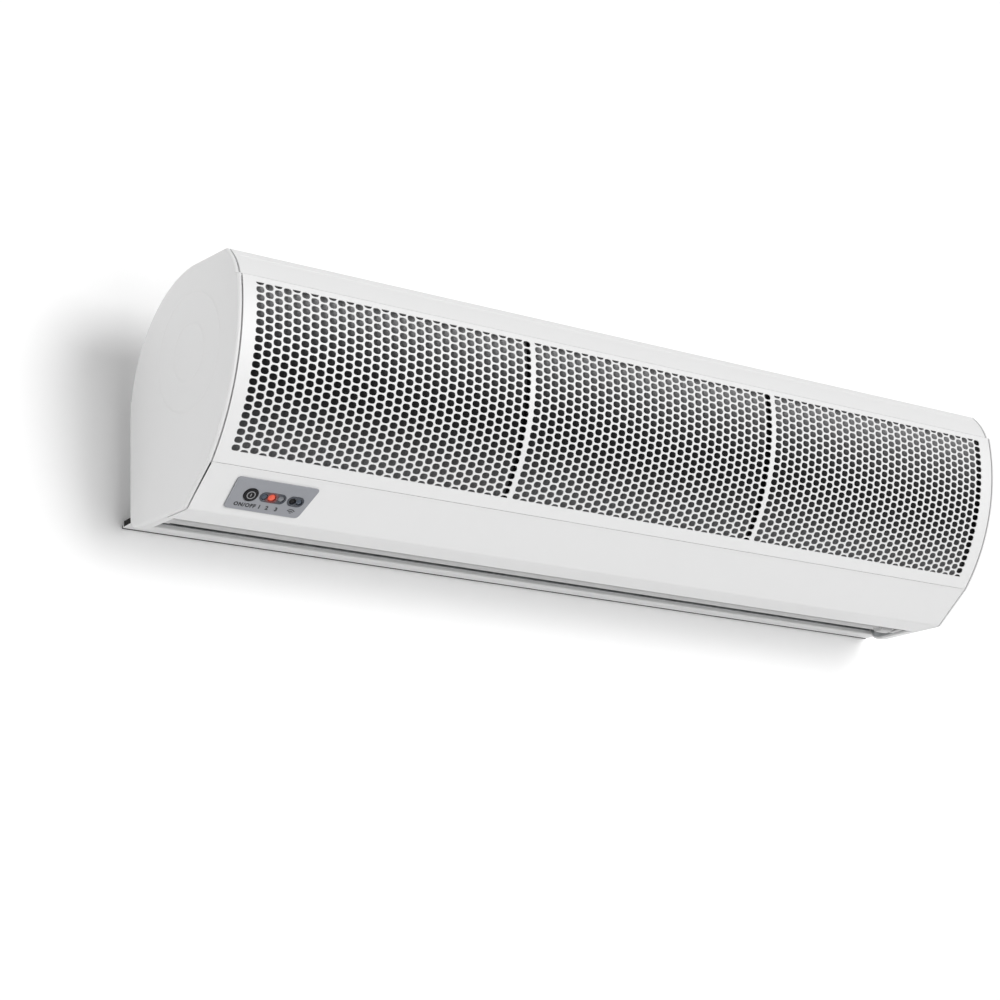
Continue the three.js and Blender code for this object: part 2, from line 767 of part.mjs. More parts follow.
// ---------------------------------------------------------------- rear panel, bracket and hangers
const backFlangeReturn = 10;
const wallClear = 1.5;
const rearPanelTop = 20;
const backWall = bar(
  sheetOutline([point(backRear, backFlangeHeight + 2), point(backRear, rearPanelTop)], plateThickness),
  -skinEnd,
  skinEnd,
);
const flangeLine = [
  point(-wallClear, backFlangeHeight + backFlangeReturn),
  point(-wallClear, backFlangeHeight),
  point(backFace, backFlangeHeight),
  point(backFace, backFlangeHeight + backFlangeReturn),
];
const backFlangeEnd = capOuter - backFlangeSetback;
const backFlange = bar(sheetOutline(flangeLine, -plateThickness), -backFlangeEnd, backFlangeEnd);
place('rear_panel', cut(joined(backWall, backFlange), ...screwPlaces.map(screwHole)), whitePaint);

const bracketSheet = 1.5;
const anchorRadius = 3;
const anchorPitch = 200;
const bracketFront = backRear + fit;
const bracketLine = [
  point(bracketFront, bracketBottom),
  point(0, bracketBottom),
  point(0, bracketTop),
  point(-bracketShelf, bracketTop),
  point(-bracketShelf, bracketTop + bracketLip),
];
const anchorPlaces = [-1.5, -0.5, 0.5, 1.5].map((pitches) => pitches * anchorPitch);
const anchorHoles = anchorPlaces.map((alongX) => {
  const hole = new THREE.CylinderGeometry(anchorRadius, anchorRadius, bracketSheet * 6, 12);
  return hole.translate(alongX, 0, (bracketTop + bracketBottom) / 2);
});
const bracketEnd = capOuter - bracketSetback;
const bracket = bar(sheetOutline(bracketLine, bracketSheet), -bracketEnd, bracketEnd);
place('wall_bracket', cut(bracket, ...anchorHoles), galvanised);

const hangerTop = bracketTop + bracketLip + fit;
const hangerFoot = 10;
const hookFace = -bracketShelf + bracketSheet * 2 + fit + 1;
const hangerLine = [
  point(bracketFront, bracketTop - hangerFoot),
  point(bracketFront, hangerTop + bracketSheet),
  point(hookFace, hangerTop + bracketSheet),
  point(hookFace, bracketTop + bracketSheet),
];
const hangerMiddle = capOuter - hangerSetback;
const hanger = bar(
  sheetOutline(hangerLine, -bracketSheet),
  hangerMiddle - hangerWidth / 2,
  hangerMiddle + hangerWidth / 2,
);
placePair('left_hanger', 'right_hanger', hanger, galvanised);

const screwProfile = [
  point(0, -screwLength),
  point(screwShankRadius, -screwLength),
  point(screwShankRadius, fit),
  point(screwHeadRadius, fit),
  point(screwHeadRadius, fit + screwHeadHeight * 0.6),
  point(screwHeadRadius * 0.6, fit + screwHeadHeight),
  point(0, fit + screwHeadHeight),
];
screwPlaces.forEach((alongX, i) => {
  const screw = upright(screwProfile, 12).rotateX(-Math.PI / 2);
  place(`rear_screw_${i + 1}`, screw.translate(alongX, backRear, screwHeight), darkSteel);
});

// ---------------------------------------------------------------- motor
const motorBossEnd = motorHalfLength + motorBossLength;
const motorShoulder = 6;
const motorProfile = [
  point(shaftRadius + fit, -motorBossEnd),
  point(motorBossRadius, -motorBossEnd),
  point(motorBossRadius, -motorHalfLength),
  point(motorRadius - motorShoulder, -motorHalfLength),
  point(motorRadius, -motorHalfLength + motorShoulder),
  point(motorRadius, motorHalfLength - motorShoulder),
  point(motorRadius - motorShoulder, motorHalfLength),
  point(motorBossRadius, motorHalfLength),
  point(motorBossRadius, motorBossEnd),
  point(shaftRadius + fit, motorBossEnd),
];
place('motor_body', turned(motorProfile, fanDepth, fanHeight, 24), motorPaint);

const ringWall = 5;
const ringInset = 3;
const ringStart = motorHalfLength + ringInset;
const ringEnd = motorBossEnd + 1;
const ring = turned(
  ringProfile(motorBossRadius + fit, motorBossRadius + ringWall, ringStart, ringEnd),
  fanDepth,
  fanHeight,
);
placePair('motor_ring_left', 'motor_ring_right', ring, rubber);

const plateMargin = 3.2;
const plateRadius = discRadius + plateMargin;
const scrollSeat = offsetLine(scrollInside, fit).slice(1);
const tongueSeat = offsetLine(tongueLine, -fit).slice(1, 4).reverse();
const motorPlateOutline = [
  ...scrollSeat,
  ...arc(fanAxis, plateRadius, scrollTipAngle + 4, 250, 16),
  ...tongueSeat,
];
const ringSeat = turned(
  discProfile(motorBossRadius + ringWall + fit, 0, casingLength),
  fanDepth,
  fanHeight,
);
const motorPlate = cut(
  bar(motorPlateOutline, motorPlateOffset, motorPlateOffset + plateThickness),
  ringSeat,
);
placePair('motor_plate_left', 'motor_plate_right', motorPlate, galvanised);

// ---------------------------------------------------------------- rotor
const impellerEnd = ductEnd - impellerEndGap;
const hubRadius = 10;
const hubFlange = 15;
const hubFlangeThickness = 3.5;
const shaftInset = 3;
const hubLength = 20;
const shaftEnd = impellerStart + hubLength - shaftInset;
const stubBoss = 8;
const motorShaft = turned(discProfile(shaftRadius, -shaftEnd, shaftEnd), fanDepth, fanHeight);
place('motor_shaft', motorShaft, darkSteel);

const hubStart = impellerStart - fit - hubFlangeThickness;
const hubProfile = [
  point(shaftRadius + fit, hubStart),
  point(hubFlange, hubStart),
  point(hubFlange, impellerStart - fit),
  point(hubRadius, impellerStart - fit),
  point(hubRadius, hubStart + hubLength),
  point(shaftRadius + fit, hubStart + hubLength),
];
placePair('left_hub', 'right_hub', turned(hubProfile, fanDepth, fanHeight), rubber);

const stubFlange = 12;
const stubSeat = 8;
const stubFlangeEnd = impellerEnd + 2;
const stubEnd = bearingEnd + 0.5;
const stubProfile = [
  point(0, impellerEnd - stubSeat),
  point(stubBoss, impellerEnd - stubSeat),
  point(stubBoss, impellerEnd + fit),
  point(stubFlange, impellerEnd + fit),
  point(stubFlange, stubFlangeEnd),
  point(shaftRadius, stubFlangeEnd),
  point(shaftRadius, stubEnd),
  point(0, stubEnd),
];
placePair('left_stub_shaft', 'right_stub_shaft', turned(stubProfile, fanDepth, fanHeight, 20), darkSteel);

// One forward-curved blade in the end view, before it is turned to its place on the wheel.
function bladeOutline(turn) {
  const lead = 13;
  const line = [0, 0.5, 1].map((share) => {
    const radius = THREE.MathUtils.lerp(bladeInnerRadius, bladeOuterRadius, share);
    return arc(fanAxis, radius, turn + lead * share * share, turn + lead * share * share, 1)[0];
  });
  return sheetOutline(line, bladeThickness);
}

function impeller() {
  const disc = (from, innerRadius) => turned(
    ringProfile(innerRadius, discRadius, from, from + discThickness),
    fanDepth,
    fanHeight,
    32,
  );
  const middle = (impellerStart + impellerEnd - discThickness) / 2;
  const pieces = [
    disc(impellerStart, hubRadius + fit),
    disc(middle, bladeInnerRadius - 1),
    disc(impellerEnd - discThickness, stubBoss + fit),
  ];
  const reach = discThickness / 2;
  for (let blade = 0; blade < bladeCount; blade += 1) {
    const outline = bladeOutline((blade * 360) / bladeCount);
    pieces.push(bar(outline, impellerStart + reach, impellerEnd - reach));
  }
  return joined(...pieces);
}

placePair('left_impeller', 'right_impeller', impeller(), blackPlastic);

// ---------------------------------------------------------------- outlet vane
const vanePivot = point(-vanePivotDepth, vanePivotHeight);
const vaneEnd = ductEnd - holderWidth - vaneEndGap;
const pinProud = 5.3;
const pinStart = vaneEnd + pinProud - pinLength;

function onVaneAxis(radius, from, to, segments) {
  return turned(discProfile(radius, from, to), vanePivotDepth, vanePivotHeight, segments);
}

function vane() {
  const camber = 1.6;
  const front = vanePivot.clone().add(point(-vaneChord / 2, -vaneThickness / 2));
  const back = vanePivot.clone().add(point(vaneChord / 2, -vaneThickness / 2));
  const crown = vanePivot.clone().add(point(0, camber - vaneThickness / 2));
  const line = new THREE.QuadraticBezierCurve(front, crown, back).getPoints(6);
  const blade = bar(sheetOutline(line, vaneThickness), -vaneEnd, vaneEnd);
  const spine = onVaneAxis(vaneSpineRadius, -vaneEnd, vaneEnd, 16);
  const bore = onVaneAxis(pinRadius + fit, pinStart - fit, casingLength, 12);
  return cut(joined(blade, spine), bore, mirrored(bore));
}

place('outlet_vane', vane(), whitePlastic);

const pin = onVaneAxis(pinRadius, pinStart, pinStart + pinLength, 12);
placePair('left_vane_pin', 'right_vane_pin', pin, darkSteel);

const holderHalfDepth = 7;
const holderTop = 8;
const holderBottom = onUnderside(vanePivotDepth + holderHalfDepth).y + skin + 2 * fit;
const holder = cut(
  block(
    [ductEnd - holderWidth, ductEnd],
    [-vanePivotDepth - holderHalfDepth, -vanePivotDepth + holderHalfDepth],
    [holderBottom, vanePivotHeight + holderTop],
  ),
  onVaneAxis(pinRadius + fit, 0, casingLength, 12),
);
placePair('left_vane_holder', 'right_vane_holder', holder, whitePlastic);

export default airCurtain;
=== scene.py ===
import math

import bmesh
import bpy
from mathutils import Matrix, Vector


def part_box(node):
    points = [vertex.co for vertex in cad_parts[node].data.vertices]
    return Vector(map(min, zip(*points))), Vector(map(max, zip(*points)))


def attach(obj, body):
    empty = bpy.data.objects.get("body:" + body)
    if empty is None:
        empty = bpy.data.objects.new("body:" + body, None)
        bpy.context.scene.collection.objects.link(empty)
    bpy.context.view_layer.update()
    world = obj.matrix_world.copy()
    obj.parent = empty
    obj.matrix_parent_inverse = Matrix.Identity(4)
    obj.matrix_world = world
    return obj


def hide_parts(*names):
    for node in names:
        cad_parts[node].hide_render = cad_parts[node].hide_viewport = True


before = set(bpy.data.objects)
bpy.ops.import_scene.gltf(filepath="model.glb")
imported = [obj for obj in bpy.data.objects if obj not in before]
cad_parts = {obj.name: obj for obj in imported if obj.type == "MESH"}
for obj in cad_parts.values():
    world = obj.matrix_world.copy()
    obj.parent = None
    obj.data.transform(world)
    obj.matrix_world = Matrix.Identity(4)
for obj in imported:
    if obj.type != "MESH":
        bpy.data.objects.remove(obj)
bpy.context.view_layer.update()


# Wall bracket and its two hangers: a folded rail screwed to the wall, and two hooks behind the
# casing that hang over its lip. All are hot-dip zinc-coated sheet, sheared and folded, with the
# grey frost-like spangle that the zinc leaves as it sets.
class Wire:
    """A socket in a material's tree. Arithmetic on it adds Math nodes."""

    def __init__(self, tree, socket=None):
        self.tree = tree
        self.socket = socket

    def node(self, kind, settings=None, sockets=None, out=0):
        """A new node's output: its settings are made first, then its sockets filled or linked."""
        made = self.tree.nodes.new(kind)
        for key, value in (settings or {}).items():
            setattr(made, key, value)
        for key, value in (sockets or {}).items():
            if isinstance(value, Wire):
                self.tree.links.new(value.socket, made.inputs[key])
            else:
                made.inputs[key].default_value = value
        return Wire(self.tree, made.outputs[out])

    def math(self, operation, first, second=0.0):
        return self.node("ShaderNodeMath", {"operation": operation}, {0: first, 1: second})

    def __add__(self, other):
        return self.math("ADD", self, other)

    def __sub__(self, other):
        return self.math("SUBTRACT", self, other)

    def __rsub__(self, other):
        return self.math("SUBTRACT", other, self)

    def __mul__(self, other):
        return self.math("MULTIPLY", self, other)

    def __truediv__(self, other):
        return self.math("DIVIDE", self, other)

    def __rtruediv__(self, other):
        return self.math("DIVIDE", other, self)

    __radd__ = __add__
    __rmul__ = __mul__

    def place(self):
        """The point on the piece, in metres in the row frame."""
        return self.node("ShaderNodeTexCoord", out="Object")

    def along(self, axis):
        """That point's X, Y or Z."""
        return self.node("ShaderNodeSeparateXYZ", {}, {"Vector": self.place()}, out=axis)

    def grain(self, scale, detail=2.0, stretch=(1, 1, 1)):
        """A noise from 0 to 1 over the piece, scale in waves to the metre."""
        moved = self.node("ShaderNodeMapping", {}, {"Vector": self.place(), "Scale": stretch})
        sockets = {"Vector": moved, "Scale": scale, "Detail": detail}
        return self.node("ShaderNodeTexNoise", {}, sockets)

    def blend(self, first, second):
        """The colour that goes from first to second as this wire goes from 0 to 1."""
        share, colour_a, colour_b, result = 0, 6, 7, 2
        sockets = {share: self, colour_a: first, colour_b: second}
        return self.node("ShaderNodeMix", {"data_type": "RGBA"}, sockets, out=result)

    def bump(self, depth, strength=1.0):
        """A normal from this wire's height, which is depth metres at 1."""
        sockets = {"Height": self, "Distance": depth, "Strength": strength}
        return self.node("ShaderNodeBump", {}, sockets)


def new_finish(name, **fixed):
    """A material with one shader, and that shader's sockets that are the same all over."""
    made = bpy.data.materials.new(name)
    made.use_nodes = True
    shader = made.node_tree.nodes["Principled BSDF"]
    for key, value in fixed.items():
        shader.inputs[key.replace("_", " ")].default_value = value
    return made, shader, Wire(made.node_tree)


def feed(shader, **wires):
    for key, wire in wires.items():
        wire.tree.links.new(wire.socket, shader.inputs[key.replace("_", " ")])


def rgba(tone, share=1.0):
    """What a colour socket takes, for a share of an (r, g, b) tone."""
    return tuple(c * share for c in tone) + (1,)


def round_edges(piece, edge, segments, turn):
    """Rounds the edges at which faces turn by more than turn degrees, edge mm wide."""
    rounding = piece.modifiers.new("rounded edges", "BEVEL")
    rounding.width = edge / 1000
    rounding.segments = segments
    rounding.angle_limit = math.radians(turn)
    rounding.harden_normals = True
    return rounding


def dress(material, *nodes, edge=0.3):
    """Gives CAD nodes their finish, with the sheared edges just broken."""
    for node in nodes:
        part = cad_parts[node]
        part.data.materials.clear()
        part.data.materials.append(material)
        if edge:
            round_edges(part, edge, 2, 40)


galvanised, zinc_shader, start = new_finish("zinc spangle", Metallic=0.9)
zinc_tone = (0.46, 0.475, 0.485)
cells = start.node(
    "ShaderNodeTexVoronoi", {}, {"Vector": start.place(), "Scale": 170.0}, out="Color",
)
flake = start.node("ShaderNodeSeparateColor", {}, {"Color": cells})
streak = start.grain(14.0, 4.0, (0.3, 1, 1))
feed(
    zinc_shader,
    Base_Color=(flake * 0.6 + streak * 0.4).blend(rgba(zinc_tone, 0.8), rgba(zinc_tone)),
    Roughness=flake * 0.16 + 0.36,
    Normal=(flake + start.grain(900.0) * 0.5).bump(0.00002),
)
dress(galvanised, "wall_bracket", "left_hanger", "right_hanger")


# Rear panel: one sheet of steel folded along the bottom into a flange that closes the gap to the
# wall and turns up again behind it. Black foam in and behind the flange is painted shade: it stands
# for the dark hollow at the flange's ends and the shadow line under it at the wall. Powder coated
# white with the rest of the casing, and held to the top cover by four pan-head screws.
def left_of(start, end):
    along = (end - start).normalized()
    return Vector((-along.y, along.x))


def offset(line, distance, closed=False):
    """A line of (y, z) points moved to its left with mitred corners."""
    moved = []
    for i, here in enumerate(line):
        sides = []
        if i > 0 or closed:
            sides.append(left_of(line[i - 1], here))
        if i < len(line) - 1 or closed:
            sides.append(left_of(here, line[(i + 1) % len(line)]))
        total = sum(sides, Vector((0, 0)))
        moved.append(here + total * (distance * len(sides) / total.length_squared))
    return moved


def bend(start, corner, end, steps):
    """A smooth line that sets out from start toward corner and comes from there to end."""
    shares = [i / steps for i in range(steps + 1)]
    return [start * (1 - t) ** 2 + corner * 2 * t * (1 - t) + end * t * t for t in shares]


def folded(corners, radius, steps=5):
    """A line through corner points with every fold between them rounded."""
    corners = [Vector(c) for c in corners]
    line = [corners[0]]
    for before, corner, after in zip(corners, corners[1:], corners[2:]):
        start = corner + (before - corner).normalized() * radius
        end = corner + (after - corner).normalized() * radius
        line += bend(start, corner, end, steps)
    return line + [corners[-1]]


def sheet(line, thickness):
    return line + offset(line, thickness)[::-1]


def oblong(y_from, y_to, z_from, z_to):
    return [Vector(c) for c in ((y_from, z_from), (y_to, z_from), (y_to, z_to), (y_from, z_to))]


def bar_faces(count):
    """The faces of a bar whose two ends have count points each."""
    sides = [(i, (i + 1) % count, count + (i + 1) % count, count + i) for i in range(count)]
    return sides + [tuple(range(count)), tuple(range(count, 2 * count))]


def prism(outline, start, end):
    """Points and faces of a bar along X with a (y, z) outline."""
    return [(x, p[0], p[1]) for x in (start, end) for p in outline], bar_faces(len(outline))


def along_axis(profile, axis, segments=48, side=1):
    """A closed profile of (radius, x) points turned round an axis along X through a (y, z)
    point. Side -1 mirrors it to the left end."""
    points, faces = [], []
    count = len(profile)
    for i in range(segments):
        turn, after = 2 * math.pi * i / segments, (i + 1) % segments
        across, up = math.cos(turn), math.sin(turn)
        points += [
            (side * x, radius * across + axis[0], radius * up + axis[1]) for radius, x in profile
        ]
        for j in range(count):
            k = (j + 1) % count
            faces.append((i * count + j, i * count + k, after * count + k, after * count + j))
    return points, faces


def plain_mesh(name, shapes):
    """One mesh, in metres, from (points, faces) shapes in millimetres."""
    points, faces = [], []
    for shape_points, shape_faces in shapes:
        start = len(points)
        points += [Vector(p) / 1000 for p in shape_points]
        faces += [tuple(start + i for i in face) for face in shape_faces]
    mesh = bpy.data.meshes.new(name)
    mesh.from_pydata(points, [], faces)
    work = bmesh.new()
    work.from_mesh(mesh)
    bmesh.ops.remove_doubles(work, verts=work.verts, dist=1e-7)
    bmesh.ops.dissolve_degenerate(work, edges=work.edges, dist=1e-7)
    bmesh.ops.recalc_face_normals(work, faces=work.faces)
    work.to_mesh(mesh)
    work.free()
    return mesh


def settle(piece):
    """Turns a piece's modifiers into mesh."""
    bpy.context.view_layer.update()
    shown = piece.evaluated_get(bpy.context.evaluated_depsgraph_get())
    piece.data = bpy.data.meshes.new_from_object(shown)
    piece.modifiers.clear()


def add_piece(
    name, shapes, material, body, nodes=(), edge=0.0, holes=(), crossing=False, soft=35,
):
    """Makes a piece that rides on body and stands for nodes. Edge, in mm, rounds its edges that
    turn by more than soft degrees, and crossing says that its holes run into each other."""
    piece = bpy.data.objects.new(name, plain_mesh(name, shapes))
    bpy.context.scene.collection.objects.link(piece)
    if holes:
        cutter = bpy.data.objects.new("cutter", plain_mesh("cutter", holes))
        bpy.context.scene.collection.objects.link(cutter)
        cut = piece.modifiers.new("holes", "BOOLEAN")
        cut.object = cutter
        cut.use_self = crossing
        settle(piece)
        bpy.data.objects.remove(cutter)
    piece.data.materials.clear()
    piece.data.materials.append(material)
    piece.data.shade_smooth()
    if edge:
        round_edges(piece, edge, 3, soft).miter_outer = "MITER_ARC"
    else:
        piece.data.set_sharp_from_angle(angle=math.radians(soft))
    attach(piece, body)
    if nodes:
        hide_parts(*nodes)
    return piece


white_paint, paint_shader, start = new_finish("white powder coat", IOR=1.5)
paint_tone = (0.828, 0.828, 0.828)
orange_peel = start.grain(620.0, 3.0)
feed(
    paint_shader,
    Base_Color=start.grain(7.0, 3.0).blend(rgba(paint_tone, 0.985), rgba(paint_tone)),
    Roughness=orange_peel * 0.1 + 0.34,
    Normal=(orange_peel + start.grain(2600.0) * 0.3).bump(0.000025, 0.5),
)
wall_gap = 17.2
plate = 1.2
back_face = -wall_gap + 0.3
panel_head, flange_foot, flange_end = 20, -92.0, 445.5
flange_reach, flange_return = -1.5, 3.5
rear_line = folded([
    (back_face, panel_head), (back_face, flange_foot),
    (flange_reach, flange_foot), (flange_reach, flange_foot + flange_return),
], 1.8)
add_piece(
    "rear_panel_sheet", [prism(sheet(rear_line, plate), -flange_end, flange_end)],
    white_paint, "chassis", ["rear_panel"], edge=0.3,
)

shade_foam, foam_shader, start = new_finish("black foam, painted shade", IOR=1.4, Specular_IOR_Level=0.1)
pores = start.grain(900.0, 3.0)
feed(
    foam_shader,
    Base_Color=pores.blend((0.01, 0.01, 0.01, 1), (0.05, 0.05, 0.05, 1)),
    Roughness=pores * 0.1 + 0.85,
    Normal=pores.bump(0.0002),
)
# The foam is painted shade: its black fills the flange's hollow ends and the gap under it at the
# wall, where the unit's darkest shade falls.
filling = oblong(back_face + 1.5, flange_reach - 1.4, flange_foot + 1.3, flange_foot + 6.5)
backing = oblong(flange_reach + 0.1, -0.1, flange_foot, flange_foot + 3)
add_piece(
    "painted_shade_seal",
    [prism(filling, 0.3 - flange_end, flange_end - 0.3), prism(backing, -flange_end, flange_end)],
    shade_foam, "chassis", edge=0.3,
)

steel, steel_shader, start = new_finish("turned steel", Metallic=1.0)
turning = start.grain(1500.0, 2.0, (1, 0.05, 0.05))
feed(
    steel_shader,
    Base_Color=turning.blend((0.36, 0.37, 0.38, 1), (0.5, 0.51, 0.52, 1)),
    Roughness=turning * 0.2 + 0.22,
    Normal=turning.bump(0.00001),
)
core = 0.05  # where solid turned profiles start, just off their axis
head_radius, head_rim, head_dome = 3.4, 0.7, 1.5
dome_turns = [math.radians(t) for t in range(0, 90, 15)]
dome = [(head_radius * math.cos(t), head_rim + head_dome * math.sin(t)) for t in dome_turns]
shank = [(core, -4.9), (1.1, -4.9), (1.7, -4.1), (1.7, 0), (head_radius, 0)]
pan_head = along_axis(shank + dome + [(core, head_rim + head_dome)], (0, 0), 32)
cross_slots = [prism(oblong(-y, y, -z, z), 1.0, 3.0) for y, z in ((0.45, 2.0), (2.0, 0.45))]
screw_height = 5.0
screw_seat = back_face + plate + 0.3


def screwed_in(shape, screw_x):
    """A shape made along X, stood along Y at a screw's place."""
    points, faces = shape
    return [(screw_x + y, screw_seat + x, screw_height + z) for x, y, z in points], faces


for i, screw_x in enumerate((-340.0, -120.0, 120.0, 340.0)):
    add_piece(
        f"rear_pan_screw_{i + 1}", [screwed_in(pan_head, screw_x)],
        steel, "chassis", [f"rear_screw_{i + 1}"],
        holes=[screwed_in(groove, screw_x) for groove in cross_slots], crossing=True,
    )


# Air duct: the rear scroll wraps the fan wheels and drops down the back of the outlet, and the
# front wall stands on the panel's lip and bends into the tongue under the wheels. Both are thin
# zinc-coated sheet rolled and folded along their whole length.
def on_circle(centre, radius, turn):
    turn = math.radians(turn)
    return Vector((centre[0] + radius * math.cos(turn), centre[1] + radius * math.sin(turn)))


fan = Vector((-95.0, 5.0))
duct_end = 435.1
scroll_line = folded([(-18.4, -88.5), (-18.7, -62), (-22.6, -20), (-22.8, 5)], 9, 6)
scroll_radius, scroll_narrows, scroll_turn, scroll_steps = 72.0, 15.5, 100, 36
for i in range(1, scroll_steps + 1):
    share = i / scroll_steps
    radius = scroll_radius - scroll_narrows * share
    scroll_line.append(on_circle(fan, radius, scroll_turn * share))
tongue_corners = [
    (-77.9, -95.5), (-84, -62), (-90, -56), (-110, -50.5), (-113, -53.5), (-116, -61.5),
]
for name, outline, node in (
    ("rear_scroll_sheet", sheet(scroll_line, -plate), "rear_scroll"),
    ("front_duct_sheet", sheet(folded(tongue_corners, 2.0), plate), "front_duct_wall"),
):
    add_piece(
        name, [prism(outline, -duct_end, duct_end)],
        galvanised, "chassis", [node], edge=0.25,
    )


# Side plates and fan bearings: a zinc-coated plate closes each end of the duct, and a rubber bush
# snapped into it carries the sintered bronze bearing of the wheel's stub shaft.
dress(galvanised, "left_side_plate", "right_side_plate")
rubber, rubber_shader, start = new_finish("black rubber", IOR=1.45)
dust_and_painted_shade = start.grain(60.0, 4.0)
feed(
    rubber_shader,
    Base_Color=dust_and_painted_shade.blend((0.014, 0.014, 0.016, 1), (0.035, 0.034, 0.034, 1)),
    Roughness=dust_and_painted_shade * 0.15 + 0.7,
    Normal=start.grain(1400.0).bump(0.00002),
)
bronze, bronze_shader, start = new_finish("sintered bronze", Metallic=1.0)
pores = start.grain(2200.0, 1.0)
feed(
    bronze_shader,
    Base_Color=pores.blend((0.3, 0.18, 0.08, 1), (0.55, 0.36, 0.18, 1)),
    Roughness=0.55 - pores * 0.2,
    Normal=pores.bump(0.00002),
)
ends = ((-1, "left"), (1, "right"))
bearing_end = 440.0
bush = [
    (9.3, 433.0), (18.5, 433.0), (19, 433.5), (19, duct_end), (15, duct_end), (15, 439.5),
    (14.5, bearing_end), (9.3, bearing_end),
]
bearing = [
    (4.3, 431), (8.5, 431), (9, 431.5), (9, 439.5), (8.5, bearing_end), (4.3, bearing_end),
]
for side, end in ends:
    for part, profile, material, slot in (
        ("bearing_bush", bush, rubber, "rubber"), ("bearing", bearing, bronze, "bronze"),
    ):
        add_piece(
            f"{end}_{part}_turned", [along_axis(profile, fan, side=side)],
            material, "chassis", [f"{end}_{part}"],
        )


# Fan motor: a painted steel shell with a rolled seam, two stepped ends and four long studs, held
# in rubber rings by two zinc-coated plates that stand in the duct between the wheels.
motor_paint, motor_shader, start = new_finish("grey motor paint", IOR=1.5)
coat = start.grain(300.0, 3.0)
feed(
    motor_shader,
    Base_Color=coat.blend((0.075, 0.08, 0.085, 1), (0.12, 0.125, 0.13, 1)),
    Roughness=coat * 0.2 + 0.4,
    Normal=coat.bump(0.00005),
)
half_shell = [
    (4.4, 50), (16.5, 50), (18, 48.5), (18, 40), (20, 38), (36, 38), (41.5, 36), (44, 31),
    (44, 3.2), (42.6, 2.4),
]
shell = half_shell + [(radius, -x) for radius, x in reversed(half_shell)]
studs = []
stud_circle = 34
for i in range(4):
    spot = on_circle(fan, stud_circle, 45 + 90 * i)
    for length, radius, segments in ((40.5, 2.6, 6), (42.0, 1.5, 16)):
        rod = [(core, -length), (radius, -length), (radius, length), (core, length)]
        studs.append(along_axis(rod, spot, segments))
add_piece(
    "motor_shell", [along_axis(shell, fan, 64)] + studs,
    motor_paint, "chassis", ["motor_body"],
)
ring = [
    (18.3, 41), (22, 41), (23, 42), (23, 45), (21.6, 46), (23, 47), (23, 50), (22, 51),
    (18.3, 51),
]
for side, end in ends:
    add_piece(
        f"motor_ring_{end}_rubber", [along_axis(ring, fan, side=side)],
        rubber, "chassis", [f"motor_ring_{end}"],
    )
dress(galvanised, "motor_plate_left", "motor_plate_right")


# Rotor: the motor's ground steel shaft carries a rubber hub and a cross-flow wheel at each side.
# Each wheel is black plastic, five discs and thirty-six forward-curved blades welded between
# them, and runs out to a steel stub shaft in the end bearing.
black_plastic, black_shader, start = new_finish(
    "black plastic", IOR=1.4, Specular_IOR_Level=0.25,
)
haze = start.grain(40.0, 4.0)
feed(
    black_shader,
    Base_Color=haze.blend((0.007, 0.007, 0.008, 1), (0.014, 0.014, 0.015, 1)),
    Roughness=haze * 0.14 + 0.42,
    Normal=start.grain(1700.0).bump(0.000015),
)
shaft = [(core, -77), (3.6, -77), (4, -76.6), (4, 76.6), (3.6, 77), (core, 77)]
add_piece(
    "motor_shaft_ground", [along_axis(shaft, fan)],
    steel, "rotor", ["motor_shaft"],
)
hub = [
    (4.3, 56.2), (14.4, 56.2), (15, 56.8), (15, 59.7), (10, 59.7), (10, 75.6), (9.4, 76.2),
    (4.3, 76.2),
]
stub = [
    (core, 419), (8, 419), (8, 427.3), (12, 427.3), (12, 429), (4, 429), (4, 440.1),
    (3.6, 440.5), (core, 440.5),
]
wheel_start, wheel_end, disc_thick = 60.0, 427.0, 2
disc_bores = (10.3, 40, 40, 40, 8.3)
blade_count, blade_root, blade_depth, blade_lead = 36, 41, 9, 13
blade = sheet([
    on_circle(fan, blade_root + blade_depth * t, blade_lead * t * t)
    for t in (0, 0.2, 0.4, 0.6, 0.8, 1)
], 1.1)
for side, end in ends:
    for part, profile, material, slot in (
        ("hub", hub, rubber, "rubber"), ("stub_shaft", stub, steel, "dark_steel"),
    ):
        add_piece(
            f"{end}_{part}_turned", [along_axis(profile, fan, side=side)],
            material, "rotor", [f"{end}_{part}"],
        )
    wheel = []
    for i in range(blade_count):
        turn = Matrix.Rotation(math.radians(360 / blade_count * i), 2)
        outline = [fan + turn @ (p - fan) for p in blade]
        wheel.append(prism(outline, side * (wheel_start + 1), side * (wheel_end - 1)))
    for i, bore in enumerate(disc_bores):
        at = wheel_start + i * (wheel_end - wheel_start - disc_thick) / 4
        disc = [
            (bore, at), (50.5, at), (50.8, at + 0.3), (50.8, at + 1.7), (50.5, at + disc_thick),
            (bore, at + disc_thick),
        ]
        wheel.append(along_axis(disc, fan, 72, side))
    add_piece(
        f"{end}_wheel", wheel, black_plastic, "rotor", [f"{end}_impeller"],
    )


# Outlet vane: an extruded plastic blade with a round spine, and a moulded clip near its right end
# that stiffens it. Its pale grey, darker than the casing, is painted shade for the outlet slot.
# Steel pins in its ends turn in two holders of the same plastic, which are fixed to the side
# plates.
# The grey is painted shade: blade and holders are coloured darker than the white casing so that
# they read as shaded inside the outlet slot.
vane_shade_grey, vane_shader, start = new_finish("pale grey plastic, painted shade", IOR=1.48)
vane_shade_tone = (0.54, 0.54, 0.54)
skin_grain = start.grain(1100.0, 2.0)
feed(
    vane_shader,
    Base_Color=start.grain(9.0, 2.0).blend(rgba(vane_shade_tone, 0.985), rgba(vane_shade_tone)),
    Roughness=skin_grain * 0.1 + 0.38,
    Normal=skin_grain.bump(0.00002, 0.5),
)


def arc(centre, radius, start, end, steps):
    turns = [start + (end - start) * i / steps for i in range(steps + 1)]
    return [on_circle(centre, radius, turn) for turn in turns]


